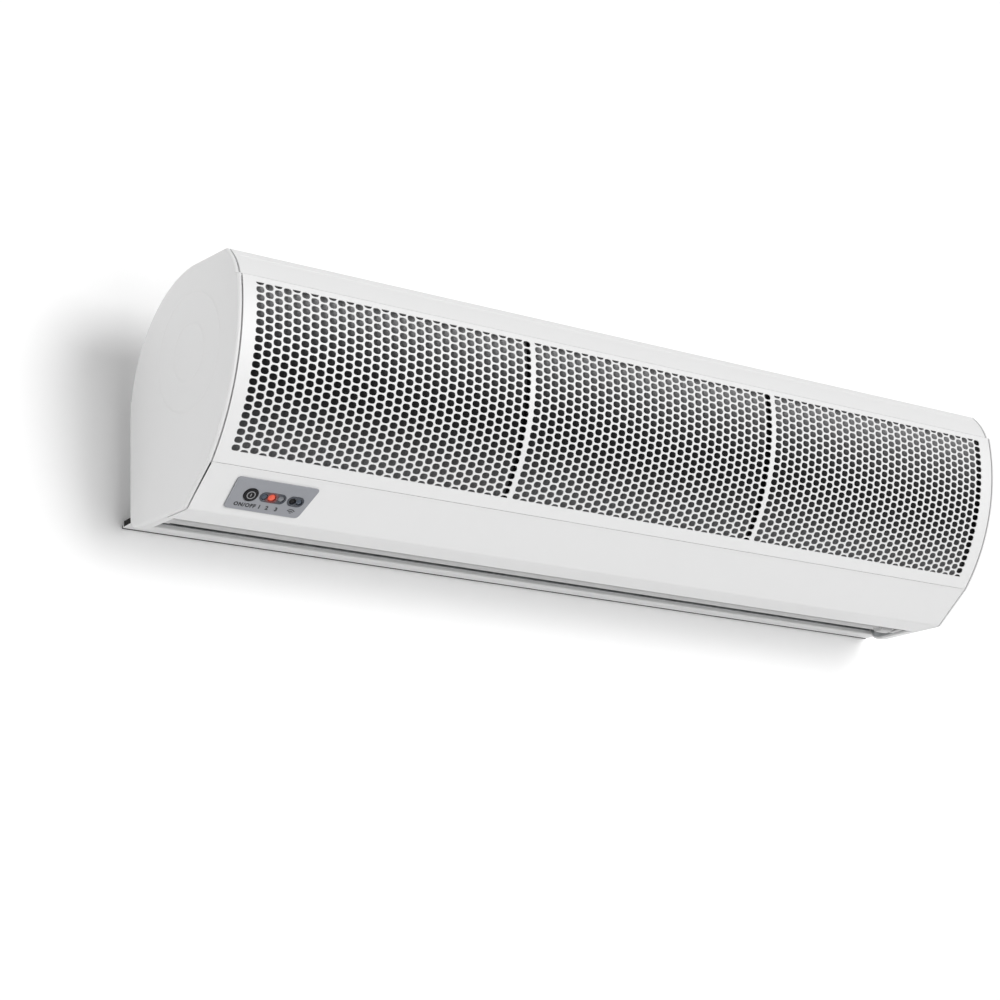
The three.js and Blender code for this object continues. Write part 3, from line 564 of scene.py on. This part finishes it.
pivot = Vector((-59.0, -94.0))
vane_end, vane_width, vane_rise, half_thick, pin_bore = 427.5, 31, 3.2, 0.9, 2.3
camber = [
    pivot + Vector((vane_width * t - vane_width / 2, vane_rise * t * (1 - t) - half_thick))
    for t in [i / 16 for i in range(17)]
]
nose = arc(camber[0] + Vector((0, half_thick)), half_thick, 258, 102, 6)
tail = arc(camber[-1] + Vector((0, half_thick)), half_thick, 78, -78, 6)
upper_face = offset(camber, half_thick * 2)[1:-1]
spine = [(pin_bore, -vane_end), (3.8, -vane_end), (3.8, vane_end), (pin_bore, vane_end)]
clip = [(-65, -95.4), (-63, -99.6), (-61, -100.6), (-54, -100.6), (-52, -99.2), (-50, -95.2)]
clip_left, clip_right = 407, 422
vane_parts = [
    prism(upper_face[::-1] + nose[::-1] + camber[1:-1] + tail[::-1], -vane_end, vane_end),
    along_axis(spine, pivot, 24),
    prism(clip, clip_left, clip_right),
]
add_piece("vane_blade", vane_parts, vane_shade_grey, "vane", ["outlet_vane"], edge=0.3)
pin = [(core, 413), (2, 413), (2, 432.4), (1.6, 432.8), (core, 432.8)]
pin_hole = prism(arc(pivot, pin_bore, 0, 345, 23), -445, 445)
chamfer = 3
for side, end in ends:
    add_piece(
        f"{end}_vane_pin_turned", [along_axis(pin, pivot, 24, side)],
        steel, "vane", [f"{end}_vane_pin"],
    )
    low, high = [corner * 1000 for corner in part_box(f"{end}_vane_holder")]
    block = [
        (low.y, low.z), (high.y, low.z), (high.y, high.z - chamfer), (high.y - chamfer, high.z),
        (low.y + chamfer, high.z), (low.y, high.z - chamfer),
    ]
    add_piece(
        f"{end}_vane_seat", [prism(block, low.x, high.x)],
        vane_shade_grey, "chassis", [f"{end}_vane_holder"], edge=0.5,
        holes=[pin_hole],
    )


# Top cover and trim: two folded white steel skins. The cover runs from the back over the rounded
# top, with a rubber grommet for the supply cable. The trim hooks in front of it, drops over the
# bevelled edge to a small step above the grille, and has a strip behind it that closes the gap.
skin = 1.6
skin_end = 442.45
top_edge = Vector((-184.0, 103.2))
rear_centre = (-128.0, -3.0)
rear_arc = arc(rear_centre, 110.8, 0, 90, 40)
toward_back = (rear_arc[-1] - top_edge).normalized()
hook = 8
cover_line = [Vector((-wall_gap, -8))] + rear_arc + [top_edge + toward_back * (hook + 0.3)]
add_piece(
    "top_cover_skin", [prism(sheet(cover_line, skin), -skin_end, skin_end)],
    white_paint, "chassis", ["top_cover"], edge=0.3,
)
grille_axis = Vector((-18.6, 56.7))
grille_radius = 185.3


def on_grille(angle):
    return on_circle(grille_axis, grille_radius, angle)


seam_top, seam_bottom = 174.5, 224.5
trim_foot = on_grille(seam_top) + Vector((3.3, 1.9))
bevel_end = top_edge + Vector((-3.96, -4.4))
bulge = (bevel_end + trim_foot) / 2 - left_of(bevel_end, trim_foot) * 3.2
trim_front = bend(bevel_end, bulge, trim_foot, 16)
trim_line = [top_edge + toward_back * hook, top_edge] + trim_front
crease, past_crease = trim_front[2:4]
along_trim = (past_crease - crease).normalized()
crease_half, crease_depth = 0.8, 0.6
crease_line = [
    crease - along_trim * crease_half,
    crease + left_of(crease, past_crease) * crease_depth,
    crease + along_trim * crease_half,
]
trim_outline = trim_line[:4] + crease_line + trim_line[5:] + offset(trim_line, skin)[::-1]
closing_strip = [on_grille(seam_top) + corner for corner in oblong(0.9, 5.4, -1.5, -0.7)]
add_piece(
    "top_trim_skin",
    [prism(outline, -skin_end, skin_end) for outline in (trim_outline, closing_strip)],
    white_paint, "chassis", ["top_trim"], edge=0.4, soft=12,
)
dress(rubber, "cable_grommet")


# Front grille: one rolled steel sheet with three fields of punched holes, flattened ovals in
# staggered columns, whose last row is cut off straight at the top and bottom of each field. Two
# black plastic ribs behind the plain strips hold a woven nylon dust screen behind each field.
pitch_x, pitch_s = 8.86838, 7.10375
hole_half = Vector((3.98, 2.95))
hole_roundness = 0.77  # 1 is an ellipse, and less has fuller corners
middle_angle = 197.82
turn_per_row = math.degrees(pitch_s / grille_radius)
row_top, row_bottom, cut_top, cut_bottom = [
    (angle - middle_angle) / turn_per_row for angle in (seam_top, seam_bottom, 176.0, 220.7)
]
column_count = 32
field_starts = [-426.13 + 287.6 * i for i in range(3)]
dividers = [-skin_end, -144.8, 142.8, skin_end]
shoulder = pitch_x / 3
cell = [
    (pitch_x - shoulder, 0), (pitch_x / 2, 0.25), (shoulder, 0.5), (0, 0.5),
    (-shoulder, 0.5), (-pitch_x / 2, 0.25), (shoulder - pitch_x, 0), (-pitch_x / 2, -0.25),
    (-shoulder, -0.5), (0, -0.5), (shoulder, -0.5), (pitch_x / 2, -0.25),
]
corner_count = len(cell)
hole = []
for i in range(corner_count):
    turn = 2 * math.pi * i / corner_count
    across, down = [
        math.copysign(abs(share) ** hole_roundness, share)
        for share in (math.cos(turn), math.sin(turn))
    ]
    hole.append((across * hole_half.x, down * hole_half.y / pitch_s))


def on_sheet(x, row):
    spot = on_grille(middle_angle + row * turn_per_row)
    return x, spot.x, spot.y


def without_spikes(outline):
    """The outline without the points that double back where a cell is cut off."""
    count = 0
    while len(outline) != count:
        count = len(outline)
        outline = [
            p for i, p in enumerate(outline)
            if p != outline[i - 1] and outline[i - 1] != outline[(i + 1) % count]
        ]
    return outline


grille_points, grille_faces = [], []
for field, start_x in enumerate(field_starts):
    left, right = dividers[field], dividers[field + 1]
    for column in range(-3, column_count + 4):
        staggered = column % 2
        centre_x = start_x + column * pitch_x
        for half_row in range(-22 + staggered, 27, 2):
            row = half_row / 2
            plain = [
                (min(max(centre_x + x, left), right), min(max(row + s, row_top), row_bottom))
                for x, s in cell
            ]
            across, down = zip(*plain)
            if max(across) - min(across) < 0.01 or max(down) - min(down) < 0.001:
                continue
            first = len(grille_points)
            in_rows = -9.5 <= row <= 10.5 if staggered else -10 <= row <= 10
            if not (0 <= column < column_count and in_rows):
                plain = without_spikes(plain)
                grille_points += [on_sheet(*p) for p in plain]
                if len(plain) > 2:
                    grille_faces.append(tuple(range(first, first + len(plain))))
                continue
            grille_points += [on_sheet(*p) for p in plain]
            for x, s in hole:
                cut_row = min(max(row + s, cut_top), cut_bottom)
                grille_points.append(on_sheet(centre_x + x, cut_row))
            first_inner = first + corner_count
            for i in range(corner_count):
                j = (i + 1) % corner_count
                grille_faces.append((first + i, first + j, first_inner + j, first_inner + i))
grille = add_piece(
    "front_grille_sheet", [(grille_points, grille_faces)],
    white_paint, "chassis", ["front_grille"],
)
one_face = grille.data.polygons[0]
outward = one_face.normal.dot(one_face.center - Vector((0, *grille_axis)) / 1000)
thickening = grille.modifiers.new("sheet", "SOLIDIFY")
thickening.thickness = 0.8 / 1000
thickening.offset = -1 if outward > 0 else 1
settle(grille)
grille.data.shade_smooth()
grille.data.set_sharp_from_angle(angle=math.radians(40))
dress(black_plastic, "grille_rib_left", "grille_rib_right")

net, net_shader, start = new_finish("nylon net, painted shade", IOR=1.45, Specular_IOR_Level=0.2)
threads = [
    start.node(
        "ShaderNodeTexWave", {"bands_direction": way}, {"Vector": start.place(), "Scale": 110.0},
    )
    for way in "XZ"
]
weave = start.math("MAXIMUM", *threads)
# Painted shade and light: the net is near black in the middle rows and greyer toward the top and
# bottom, standing in for the deep shade and the lit sheet metal behind the grille, with a faint
# random mottle over it.
painted_shade_middle, painted_shade_reach = -0.004, 0.075
from_middle = start.math("ABSOLUTE", start.along("Z") - painted_shade_middle) / painted_shade_reach
dust_and_painted_shade = from_middle * from_middle + start.grain(9.0, 3.0) * 0.16 - 0.08
dust_and_painted_shade = start.math("MINIMUM", start.math("MAXIMUM", dust_and_painted_shade, 0.0), 1.0)
feed(
    net_shader,
    Base_Color=(dust_and_painted_shade * (0.75 + weave * 0.25)).blend(
        (0.012, 0.012, 0.013, 1), (0.3, 0.3, 0.305, 1),
    ),
    Roughness=0.75 + weave * 0.1,
    Normal=weave.bump(0.0001),
)
dress(net, "dust_screen_left", "dust_screen_middle", "dust_screen_right", edge=0)


# Lower front panel: folded white steel that slants back under the grille, turns round a small
# radius into the lip of the outlet and stands up behind it. Behind it hang a zinc-coated tray with
# the terminal block, the relay board and the motor's run capacitor.
panel_top = Vector((-149.5, -74.0))
panel_bottom = Vector((-109.0, -103.2))
rear_corner = Vector((-wall_gap, -98.5))


def on_underside(depth):
    """The point at a depth from the wall on the line from the panel's foot to the rear corner."""
    share = (panel_bottom.x + depth) / (panel_bottom.x - rear_corner.x)
    return panel_bottom + (rear_corner - panel_bottom) * share


panel_line = folded([panel_top, panel_bottom, on_underside(76)], 2.5, 8)
down_slope = (panel_bottom - panel_top).normalized()
fold_top = panel_top - down_slope * 1.38
fold_back = fold_top + Vector((4.2, 0.9))
panel_fold = folded([fold_back, fold_top, panel_top + down_slope * 20], 1.2, 6)
inward = left_of(panel_top, panel_bottom)


def on_panel(x, down, out):
    """A point on the panel: down its slope from the top edge, and out of its face."""
    spot = panel_top + down_slope * down - inward * out
    return x, spot.x, spot.y


def panel_plate(outline, low, high):
    """Points and faces of a plate with an (x, down) outline, from low to high above the panel."""
    points = [on_panel(x, down, out) for out in (low, high) for x, down in outline]
    return points, bar_faces(len(outline))


def circle(x, down, radius, steps=40):
    turns = [2 * math.pi * i / steps for i in range(steps)]
    return [(x + radius * math.cos(t), down + radius * math.sin(t)) for t in turns]


def pill(left, right, middle, height, steps=12):
    radius = height / 2
    outline = []
    for x, start_angle in ((right - radius, -90), (left + radius, 90)):
        for i in range(steps + 1):
            t = math.radians(start_angle + 180 * i / steps)
            outline.append((x + radius * math.cos(t), middle + radius * math.sin(t)))
    return outline


control_row = 24.5
button_x, button_hole = -394.0, 7.0
led_pill, receiver_pill = (-385.0, -360.0), (-358.0, -342.5)
control_cuts = [circle(button_x, control_row, button_hole)] + [
    pill(left - 0.3, right + 0.3, control_row, 10.6) for left, right in (led_pill, receiver_pill)
]
control_holes = [panel_plate(outline, -4, 4) for outline in control_cuts]
panel_outline = sheet(panel_fold[:-1] + panel_line[1:], skin)
lip_return = oblong(-77.6, -76, -100.1, -93.5)
add_piece(
    "lower_panel_skin",
    [prism(panel_outline, -skin_end, skin_end), prism(lip_return, -duct_end, duct_end)],
    white_paint, "chassis", ["lower_front_panel"],
    edge=0.3, holes=control_holes, soft=30,
)

board_green, board_shader, start = new_finish("green solder mask", IOR=1.5)
bricks = {"Vector": start.place(), "Scale": 260.0, "Mortar Size": 0.03}
tracks = start.node("ShaderNodeTexBrick", {}, bricks, out="Fac")
feed(
    board_shader,
    Base_Color=tracks.blend((0.02, 0.09, 0.04, 1), (0.035, 0.14, 0.06, 1)),
    Roughness=tracks * 0.1 + 0.3,
    Normal=tracks.bump(0.00003),
)


def panel_box(left, right, top, bottom, low, high):
    corners = [(left, top), (right, top), (right, bottom), (left, bottom)]
    return panel_plate(corners, low, high)


tray_left, tray_long = -310.0, 210
tray_face, tray_back = -3.1, -1.9
seat = tray_face - 0.3
terminals = [panel_box(tray_left + 10, tray_left + 60, 14, 34, seat - 8, seat)]
terminal_walls, terminal_pitch = 7, 8.1
for i in range(terminal_walls):
    wall_x = tray_left + 10 + terminal_pitch * i
    terminals.append(panel_box(wall_x, wall_x + 1.4, 14.2, 33.8, seat - 12, seat - 7.5))
relays = [panel_box(tray_left + 75, tray_left + 135, 10, 38, seat - 1.6, seat)]
for left, wide, top, tall, high in (
    (78, 15, 12, 12, 9.5), (96, 15, 12, 12, 9.5), (114, 18, 13, 10, 7), (80, 26, 28, 7, 5),
    (112, 20, 27, 8, 10),
):
    left += tray_left
    relays.append(panel_box(left, left + wide, top, top + tall, seat - high, seat - 1.5))
can = [panel_box(tray_left + 150, tray_left + 198, 14, 34, seat - 13, seat)]
for tab in (160, 186):
    can.append(panel_box(tray_left + tab, tray_left + tab + 4, 22, 26, seat - 14, seat - 12.8))
tray = [panel_box(tray_left, tray_left + tray_long, 8, 40, tray_face, tray_back)]
for name, shapes, material, slot, node, edge in (
    ("electrics_tray_sheet", tray, galvanised, "galvanised", "electrics_tray", 0.4),
    ("terminal_strip", terminals, black_plastic, "black_plastic", "terminal_block", 0.3),
    ("relay_board_made", relays, board_green, "board_green", "relay_board", 0.3),
    ("run_capacitor_can", can, black_plastic, "black_plastic", "run_capacitor", 0.8),
):
    add_piece(name, shapes, material, "chassis", [node], edge=edge)


# Controls: a printed grey film on the slanted panel, a round black push button through it, and two
# smoked windows with rims. Three lamps stand in the long window, the middle one lit, and an
# infrared receiver and sender in the short one. Their board sits in a black housing behind them.
film, film_shader, start = new_finish("grey printed film", IOR=1.5)
fibre = start.grain(1300.0, 2.0)
feed(
    film_shader,
    Base_Color=start.grain(25.0, 2.0).blend((0.285, 0.295, 0.322, 1), (0.315, 0.322, 0.348, 1)),
    Roughness=fibre * 0.15 + 0.36,
    Normal=fibre.bump(0.00001),
)
film_left, film_right, film_slant = -413.1, -333.0, 7.5
film_top, film_bottom, film_face = 8.0, 41.3, 1.1
film_middle = (film_left + film_right) / 2
film_outline = folded([
    (film_middle, film_top), (film_left, film_top), (film_left, film_bottom),
    (film_right - film_slant, film_bottom), (film_right, film_top), (film_middle + 1, film_top),
], 4.0, 8)
add_piece(
    "control_film", [panel_plate(film_outline, 0.3, film_face)],
    film, "chassis", ["control_overlay"], edge=0.2, holes=control_holes,
)

print_black, print_shader, start = new_finish("black print")
ink = start.grain(900.0)
feed(
    print_shader,
    Base_Color=ink.blend((0.012, 0.012, 0.014, 1), (0.025, 0.025, 0.028, 1)),
    Roughness=ink * 0.1 + 0.5,
)
print_face, print_half = film_face + 0.04, 0.02
letter_size, letter_weight, letter_spacing = 1.38, 1 / 13, 1.18


def printed_word(name, words, x, down, height):
    """Generic words printed on the film, centred on x and standing on the line at down."""
    curve = bpy.data.curves.new(name, "FONT")
    curve.body = words
    curve.align_x = "CENTER"
    curve.size = height * letter_size / 1000
    curve.offset = height * letter_weight / 1000
    curve.space_character = letter_spacing
    curve.extrude = print_half / 1000
    holder = bpy.data.objects.new(name, curve)
    bpy.context.scene.collection.objects.link(holder)
    bpy.context.view_layer.update()
    shown = holder.evaluated_get(bpy.context.evaluated_depsgraph_get())
    mesh = bpy.data.meshes.new_from_object(shown)
    bpy.data.objects.remove(holder)
    spot = Vector(on_panel(x, down, print_face)) / 1000
    up = Vector((0, -down_slope.x, -down_slope.y))
    out = Vector((0, -inward.x, -inward.y))
    basis = Matrix((Vector((1, 0, 0)), up, out)).transposed().to_4x4()
    mesh.transform(Matrix.Translation(spot) @ basis)
    mesh.materials.clear()
    mesh.materials.append(print_black)
    piece = bpy.data.objects.new(name, mesh)
    bpy.context.scene.collection.objects.link(piece)
    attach(piece, "chassis")


printed_word("caption_switch", "ON/OFF", -395.0, 37.2, 3.7)
lamp_places, lamp_radii = (-380.9, -373.6, -364.6), (3.1, 3.7, 3.2)
for i, lamp_x in enumerate(lamp_places):
    printed_word(f"caption_lamp_{i + 1}", str(i + 1), lamp_x, 37.0, 3.8)
sign_x, sign_foot, stroke = -350.2, 37.4, 0.85
fan_out = [math.radians(-54 + 9 * i) for i in range(13)]
waves = []
for radius in (1.4, 3.1, 4.8):
    outer, inner = [
        [(sign_x + r * math.sin(t), sign_foot - r * math.cos(t)) for t in fan_out]
        for r in (radius, radius - stroke)
    ]
    waves.append(
        panel_plate(outer + inner[::-1], print_face - print_half, print_face + print_half)
    )
add_piece("caption_receiver", waves, print_black, "chassis")


def lofted(rings):
    """Points and faces of a closed body through rings of as many points each."""
    count, last = len(rings[0]), len(rings) - 1
    faces = [tuple(range(count)), tuple(range(last * count, last * count + count))]
    for ring_index in range(last):
        for i in range(count):
            a, b = ring_index * count + i, ring_index * count + (i + 1) % count
            faces.append((a, b, b + count, a + count))
    return sum(rings, []), faces


def panel_rings(profile, x, steps):
    """Rings round an axis out of the panel at x, from a profile of (radius, out) points."""
    return [
        [on_panel(px, down, out) for px, down in circle(x, control_row, radius, steps)]
        for radius, out in profile
    ]


def tube_faces(count):
    """The faces of a tube: an outer and an inner ring of count points at one end, then the same
    at the other."""
    faces = []
    for i in range(count):
        j = (i + 1) % count
        faces += [
            (i, j, count + j, count + i),
            (2 * count + i, 2 * count + j, 3 * count + j, 3 * count + i),
            (i, j, 2 * count + j, 2 * count + i),
            (count + i, count + j, 3 * count + j, 3 * count + i),
        ]
    return faces


button_top = film_face + 0.7
button_profile = [
    (4.7, -4.1), (4.7, -2.9), (8.1, -2.9), (8.1, -1.9), (6.7, -1.9), (6.7, button_top - 0.5),
    (6.55, button_top - 0.18), (6.2, button_top), (5.0, button_top - 0.12),
    (3.8, button_top - 0.2), (core, button_top - 0.22),
]
add_piece(
    "power_push_button", [lofted(panel_rings(button_profile, button_x, 48))],
    black_plastic, "power_key", ["power_button"],
)
print_grey, grey_shader, start = new_finish("grey print")
ink = start.grain(900.0)
feed(
    grey_shader,
    Base_Color=ink.blend((0.27, 0.27, 0.28, 1), (0.33, 0.33, 0.34, 1)),
    Roughness=ink * 0.1 + 0.45,
)
mark_low, bar_high, ring_high = button_top - 0.3, button_top - 0.1, button_top + 0.02
bar_half, bar_reach = 0.4, 1.5
mark_ring = [
    on_panel(x, down, out) for out in (mark_low, ring_high) for radius in (4.0, 3.2)
    for x, down in circle(button_x, control_row, radius)
]
mark_bar = panel_box(
    button_x - bar_half, button_x + bar_half, control_row - bar_reach, control_row + bar_reach,
    mark_low, bar_high,
)
add_piece(
    "power_symbol", [(mark_ring, tube_faces(len(mark_ring) // 4)), mark_bar],
    print_grey, "power_key",
)

smoked, smoked_shader, start = new_finish("smoked plastic", IOR=1.49, Coat_Roughness=0.06)
swirl = start.grain(120.0, 2.0)
# Painted light: the red glow round the lit lamp is painted into the smoked window's colour, fading
# with distance from the lamp.
lamp_spot = Vector(on_panel(lamp_places[1], control_row, film_face)) / 1000
from_lamp = start.node(
    "ShaderNodeVectorMath", {"operation": "DISTANCE"}, {0: start.place(), 1: lamp_spot},
    out="Value",
)
painted_glow_reach = 0.005
near_lamp = from_lamp / painted_glow_reach
painted_glow = start.math("EXPONENT", near_lamp * near_lamp * near_lamp * near_lamp * -0.7)
grey_smoke = swirl.blend((0.03, 0.036, 0.048, 1), (0.045, 0.052, 0.068, 1))
feed(
    smoked_shader,
    Base_Color=painted_glow.blend(grey_smoke, (0.22, 0.02, 0.014, 1)),
    Roughness=swirl * 0.08 + 0.14,
    Coat_Weight=swirl * 0.2 + 0.3,
)
window_face = film_face + 0.2
receiver_x, sender_x, lens_well = -353.4, -346.9, 3.22
lamp_wells = [(x, radius + 0.02) for x, radius in zip(lamp_places, lamp_radii)]
for name, (left, right), wells, node in (
    ("led_window_smoked", led_pill, lamp_wells, "led_window"),
    (
        "receiver_window_smoked", receiver_pill,
        [(receiver_x, lens_well), (sender_x, lens_well)], "receiver_window",
    ),
):
    window = pill(left - 0.22, right + 0.22, control_row, 10.44)
    add_piece(
        name, [panel_plate(window, -skin, window_face)],
        smoked, "chassis", [node], edge=0.25,
        holes=[panel_plate(circle(x, control_row, radius), -0.4, 3) for x, radius in wells],
    )


def lens(x, radius, crown, face, steps=32):
    """A domed lamp or lens that stands on the board, with its crown at face."""
    board_face = -7.7
    profile = [(radius, board_face), (radius, face - crown)]
    for turn in (15, 30, 45, 60, 75):
        turn = math.radians(turn)
        profile.append((radius * math.cos(turn), face - crown + crown * math.sin(turn)))
    points, faces = lofted(panel_rings(profile, x, steps))
    last = len(points) - steps
    faces.remove(tuple(range(last, last + steps)))
    faces += [(last + i, last + (i + 1) % steps, len(points)) for i in range(steps)]
    return points + [on_panel(x, control_row, face)], faces


def lamp_finish(name, dark, light, **fixed):
    made, shader, start = new_finish(name, IOR=1.5, **fixed)
    glass = start.grain(500.0, 1.0)
    feed(shader, Base_Color=glass.blend(dark, light), Roughness=glass * 0.1 + 0.12)
    return made


lamp_off = lamp_finish("unlit lamp", (0.03, 0.045, 0.07, 1), (0.08, 0.1, 0.13, 1))
lamp_lit = lamp_finish(
    "lit lamp", (0.62, 0.07, 0.035, 1), (0.85, 0.14, 0.08, 1),
    Emission_Color=(1.0, 0.12, 0.05, 1), Emission_Strength=0.12,
)
lamp_pale = lamp_finish("pale lamp", (0.12, 0.125, 0.14, 1), (0.26, 0.27, 0.29, 1))
lamp_looks = (
    (lamp_off, "smoked_plastic"), (lamp_lit, "signal_red"), (lamp_pale, "smoked_plastic"),
)
for i, (material, slot) in enumerate(lamp_looks):
    add_piece(
        f"status_lamp_{i + 1}",
        [lens(lamp_places[i], lamp_radii[i], 1.2, window_face - 0.1)],
        material, "chassis", [f"status_led_{i + 1}"],
    )
for name, lens_x, material, slot, nodes in (
    ("ir_receiver_lens", receiver_x, black_plastic, "black_plastic", ["ir_receiver"]),
    ("ir_sender_lens", sender_x, lamp_off, "smoked_plastic", []),
):
    add_piece(
        name, [lens(lens_x, 2.9, 1.0, window_face - 0.2)], material, "chassis", nodes,
    )

display = [panel_box(-404.2, -337.8, 10.8, 38.2, -9.6, -8)]
for left, top, wide, tall in (
    (-389, 31, 6, 5), (-372, 12.5, 9, 5), (-356, 31, 8, 4), (-346, 12, 4, 4), (-401, 12, 5, 8),
):
    display.append(panel_box(left, left + wide, top, top + tall, -8.05, -6.6))
add_piece(
    "display_board_made", display,
    board_green, "chassis", ["display_board"], edge=0.15,
)
dress(black_plastic, "board_housing", "tact_switch", edge=0.4)


# End caps: one moulding at each end in white plastic. Its flat wall has a rounded edge that stands
# just proud of the skins, a faint round relief, a spigot under the skins and a rim that closes the
# ends of the underside and the back.
cap_white, cap_shader, start = new_finish("white plastic, moulded relief", IOR=1.48)
skin_grain = start.grain(1100.0, 2.0)
relief_y, relief_z, ridge_half = -0.121, 0.031, 0.0011
off_y, off_z = start.along("Y") - relief_y, start.along("Z") - relief_z
from_centre = start.math("SQRT", off_y * off_y + off_z * off_z)
relief = 0
for radius in (0.0255, 0.052):
    away = (from_centre - radius) / ridge_half
    relief = start.math("EXPONENT", away * away * -1.0) + relief
feed(
    cap_shader,
    Base_Color=start.grain(6.0, 2.0).blend((0.79, 0.79, 0.79, 1), (0.805, 0.805, 0.805, 1)),
    Roughness=skin_grain * 0.1 + 0.38,
    Normal=(relief * 0.9 + skin_grain * 0.05).bump(0.0004, 0.7),
)
cap_rim, cap_inner = 436.9, 443.9
inner_round, edge_deep, edge_inset = 0.5, 3.6, 2.2
edge_steps = [
    (cap_inner, inner_round), (cap_inner + 0.15, 0.15), (cap_inner + inner_round, 0),
]
for i in range(1, 7):
    turn = math.radians(15 * i)
    out = cap_inner + inner_round + (edge_deep - inner_round) * math.sin(turn)
    edge_steps.append((out, edge_inset * (1 - math.cos(turn))))
rear_fold = folded([panel_bottom, rear_corner, rear_arc[0]], 14, 14)[1:-1]
grille_line = arc(grille_axis, grille_radius, seam_top, seam_bottom, 28)
cap_line = [top_edge] + trim_front + grille_line + panel_line[:-1] + rear_fold + rear_arc
coarse_line = [top_edge, bevel_end] + trim_front[4::4] + grille_line[::4]
coarse_line += [panel_top, panel_bottom] + rear_fold[::4] + rear_arc[::4]
spigot_lines = [offset(coarse_line, inset, True) for inset in (1.9, 3.9)]
rim_line = [on_underside(75.7)] + rear_fold + [Vector((-wall_gap, -8.3))]
for side, end in ends:
    rings = [
        [(side * x, p.x, p.y) for p in (offset(cap_line, inset, True) if inset else cap_line)]
        for x, inset in edge_steps
    ]
    spigot = [
        (side * x, p.x, p.y) for x in (cap_rim, cap_inner + 0.1) for line in spigot_lines
        for p in line
    ]
    rim = prism(sheet(rim_line, 1.9), side * cap_rim, side * (cap_inner + 0.1))
    add_piece(
        f"{end}_cap_moulding", [lofted(rings), (spigot, tube_faces(len(coarse_line))), rim],
        cap_white, "chassis", [f"{end}_end_cap"], soft=24,
    )


# Room: a plain white wall behind the unit, which can be looked through from its back, and a pale
# floor far below. Soft light from all round and a white surround light them at a plain level.
def to_eye(start):
    """1 on the rays that are seen, straight or in gloss or glass, and 0 on those that light."""
    seen, glossy, through = [
        start.node("ShaderNodeLightPath", out=ray)
        for ray in ("Is Camera Ray", "Is Glossy Ray", "Is Transmission Ray")
    ]
    return start.math("MAXIMUM", start.math("MAXIMUM", seen, glossy), through)


def mixed(share, first, second):
    """A Mix Shader of two shaders, which is all second where share is 1."""
    return share.node("ShaderNodeMixShader", {}, {0: share, 1: first, 2: second})


# The wall and the floor keep their shadows, are white where nothing shades them, and are clear
# from behind and to the lamp that lights the unit's back.
room_white, room_shader, start = new_finish(
    "white wall and floor", Base_Color=(0.86, 0.86, 0.86, 1), Roughness=0.9, Specular_IOR_Level=0.0,
)
white = (1, 1, 1, 1)
glow_lift = 0.06
bright = start.node("ShaderNodeBsdfDiffuse", {}, {"Color": white})
glow = start.node("ShaderNodeEmission", {}, {"Color": white, "Strength": glow_lift})
seen_sheet = start.node("ShaderNodeAddShader", {}, {0: bright, 1: glow})
lit_sheet = mixed(to_eye(start), Wire(start.tree, room_shader.outputs[0]), seen_sheet)
behind = start.node("ShaderNodeNewGeometry", out="Backfacing")
shadow = start.node("ShaderNodeLightPath", out="Is Shadow Ray")
clear = start.node("ShaderNodeBsdfTransparent")
shown_sheet = mixed(start.math("MAXIMUM", behind, shadow), lit_sheet, clear)
start.tree.links.new(shown_sheet.socket, start.tree.nodes["Material Output"].inputs["Surface"])
room_half, wall_face, wall_top, wall_foot, floor_front = 6.0, 0.0004, 4.0, -2.2, -7
for name, near, far in (
    ("wall", (wall_face, wall_foot), (wall_face, wall_top)),
    ("floor", (floor_front, wall_foot), (wall_face, wall_foot)),
):
    corners = [(-room_half, *near), (room_half, *near), (room_half, *far), (-room_half, *far)]
    mesh = bpy.data.meshes.new(name)
    mesh.from_pydata(corners, [], [(0, 1, 2, 3)])
    mesh.materials.append(room_white)
    room_sheet = bpy.data.objects.new(name, mesh)
    bpy.context.scene.collection.objects.link(room_sheet)

surround = bpy.data.worlds.new("white surround")
bpy.context.scene.world = surround
surround.use_nodes = True
sky = Wire(surround.node_tree)
room_light = 0.24
cast, shown_white = [
    sky.node("ShaderNodeBackground", {}, {"Color": white, "Strength": strength})
    for strength in (room_light, 1.0)
]
both = mixed(to_eye(sky), cast, shown_white)
sky.tree.links.new(both.socket, sky.tree.nodes["World Output"].inputs["Surface"])
for name, toward, strength, spread in (
    ("low key", (0.203, -0.957, -0.208), 0.77, 30),
    ("side key", (0.355, -0.925, 0.139), 1.42, 28),
    ("left fill", (-1, 0.2, 0), 0.72, 30),
    ("top fill", (0, -0.2, 1), 0.3, 30),
    ("right fill", (1, -0.05, 0), 0.5, 30),
    ("back fill", (0, 1, 0.1), 0.3, 30),
):
    lamp = bpy.data.lights.new(name, "SUN")
    lamp.energy = strength
    lamp.angle = math.radians(spread)
    holder = bpy.data.objects.new(name, lamp)
    bpy.context.scene.collection.objects.link(holder)
    holder.rotation_mode = "QUATERNION"
    holder.rotation_quaternion = Vector(toward).to_track_quat("Z", "Y")

camera_data = bpy.data.cameras.new("camera")
camera_data.sensor_width = 36
camera_data.lens = 88.907
camera = bpy.data.objects.new("camera", camera_data)
bpy.context.scene.collection.objects.link(camera)
right = Vector((0.80565646, -0.59077985, -0.04355263))
down = Vector((0.13918092, 0.26024042, -0.95545989))
forward = Vector((0.5758006, 0.76371074, 0.29188966))
camera_place = (-1.41463, -1.82927, -0.70525)
turned_camera = Matrix((right, -down, -forward)).transposed().to_4x4()
camera.matrix_world = Matrix.Translation(camera_place) @ turned_camera
bpy.context.scene.camera = camera
bpy.context.scene.view_settings.view_transform = "Standard"
